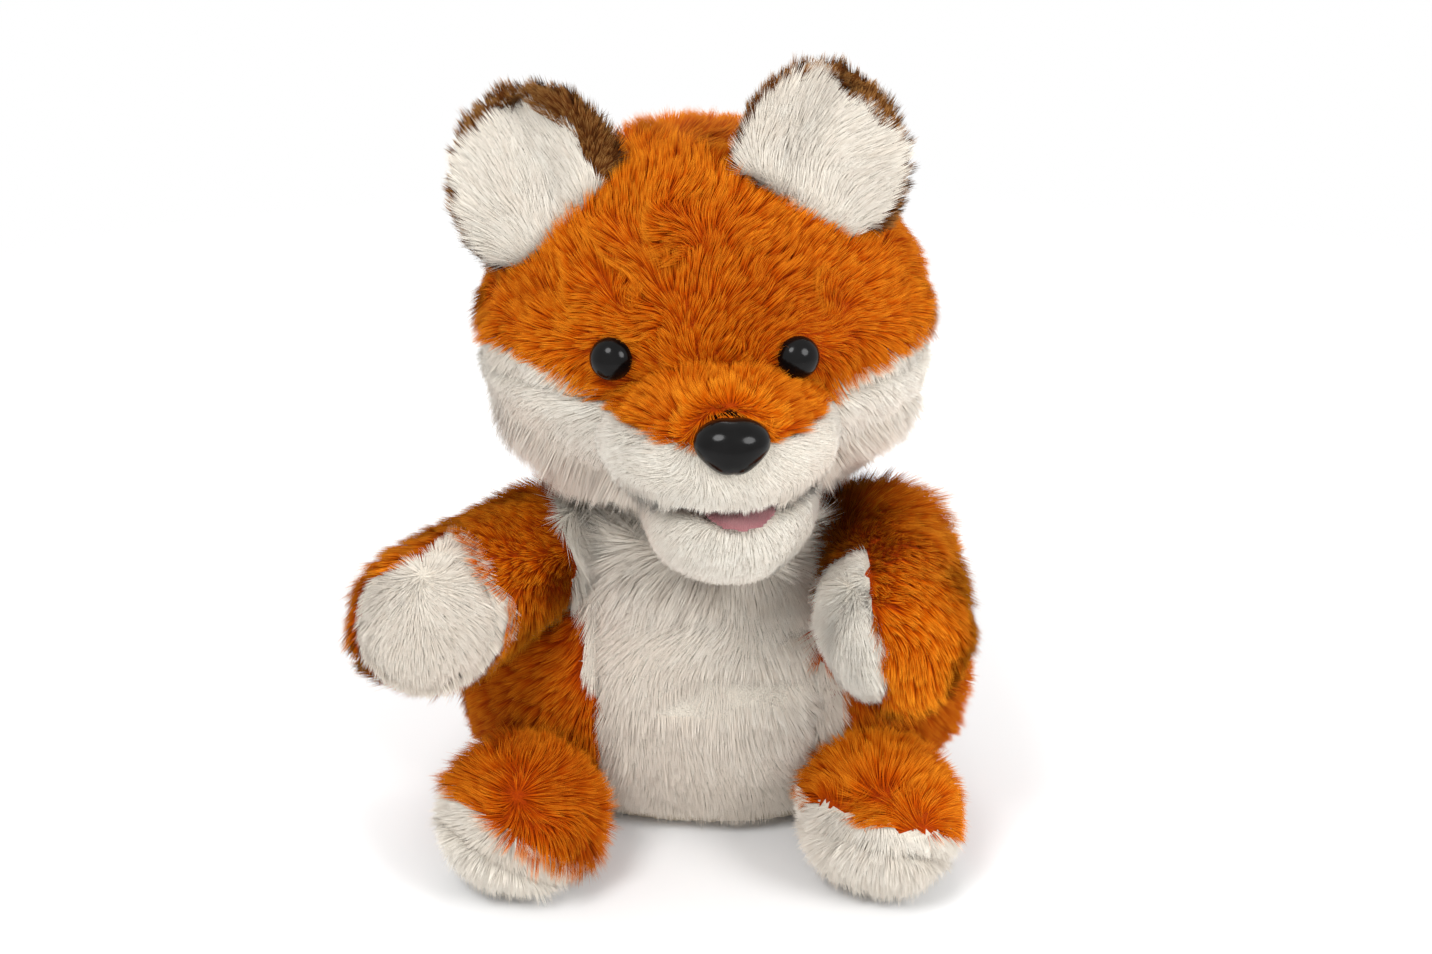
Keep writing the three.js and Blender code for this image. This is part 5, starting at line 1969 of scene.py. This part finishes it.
@dataclass
class Studio:
    """A pale table top and soft lamps, in metres."""

    frame: Frame
    floor_size: float = 3.0
    floor_drop: float = 0.0005
    clear_from: float = 0.35
    clear_to: float = 0.9
    sky: float = 0.66  # how bright the air is for the puppet
    lamps: tuple[Lamp, ...] = (
        Lamp("key_lamp", (-0.5, -0.85, 1.15), 0.55, 9.6),
        Lamp("fill_lamp", (0.85, -0.8, 0.75), 0.6, 9.2),
        Lamp("back_lamp", (0.1, 0.9, 1.0), 0.8, 5.0),
    )

    def _floor(self) -> None:
        """A plain white table top that keeps the shadow and fades into the white air."""
        deselect()
        bpy.ops.mesh.primitive_plane_add(size=self.floor_size, location=(0, 0, -self.floor_drop))
        floor = bpy.context.active_object
        floor.name = "table_top"
        s = Shading("table_white")
        away = s.node("ShaderNodeVectorMath", {"Vector": s.place()}, "Value", operation="LENGTH")
        floor.data.materials.append(s.close(
            Base_Color=(0.95, 0.95, 0.95), Roughness=0.9, Specular_IOR_Level=0.0,
            Alpha=s.between(away, self.clear_from, self.clear_to, 1.0, 0.0),
        ))

    def _world(self) -> None:
        """Even daylight that the camera and gloss see as white."""
        world = bpy.data.worlds.new("studio_air")
        bpy.context.scene.world = world
        world.use_nodes = True
        tree = world.node_tree
        tree.nodes.clear()
        path = tree.nodes.new("ShaderNodeLightPath")
        seen = path.outputs["Is Camera Ray"]
        for other in ("Is Glossy Ray", "Is Transmission Ray"):
            either = tree.nodes.new("ShaderNodeMath")
            either.operation = "MAXIMUM"
            tree.links.new(seen, either.inputs[0])
            tree.links.new(path.outputs[other], either.inputs[1])
            seen = either.outputs[0]
        level = tree.nodes.new("ShaderNodeMapRange")
        level.inputs["To Min"].default_value = self.sky
        level.inputs["To Max"].default_value = 1.0
        tree.links.new(seen, level.inputs["Value"])
        air = tree.nodes.new("ShaderNodeBackground")
        air.inputs["Color"].default_value = (1, 1, 1, 1)
        tree.links.new(level.outputs[0], air.inputs["Strength"])
        out = tree.nodes.new("ShaderNodeOutputWorld")
        tree.links.new(air.outputs[0], out.inputs["Surface"])

    def build(self) -> None:
        """Sets up the room."""
        self._floor()
        self._world()
        for lamp in self.lamps:
            lamp.build(Vector(self.frame.at(0, 0, 120)))
        bpy.context.scene.view_settings.view_transform = "Standard"


def main() -> None:
    """Builds the puppet, piece by piece, and the room."""
    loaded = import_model()
    frame = Frame(loaded)
    camera = PhotoCamera(frame)
    shop = Workshop(frame, camera.seen)
    parts = [camera, Studio(frame), Torso(shop, "torso"), Head(shop, "head"), Jaw(shop, "jaw")]
    for side in Side:
        for kind, name in ((Ear, "ear"), (Arm, "arm"), (Leg, "leg")):
            parts.append(kind(shop, f"{name}_{side.value}", side))
        parts.append(SafetyEye(shop, f"eye_{side.value}"))
    parts += [Nose(shop, "nose"), Tail(shop, "tail")]
    for seed, node in enumerate((
        "neck_sleeve", "neck_inner_collar", "neck_outer_collar",
        "arm_right_gusset", "arm_left_gusset", "tail_gusset",
    ), 81):
        parts.append(Joint(shop, frame.body_of[node], node, seed))
    for part in [*parts, Linings(shop), Stuffing(shop)]:
        part.build()
    meshes = [o.data for o in bpy.data.objects if o.type == "MESH"]
    triangles = sum(len(mesh.loops) - 2 * len(mesh.polygons) for mesh in meshes)
    log.info("strands in all: %d, triangles in all: %d", shop.coat.strands, triangles)
    deselect()


if __name__ == "__main__":
    main()
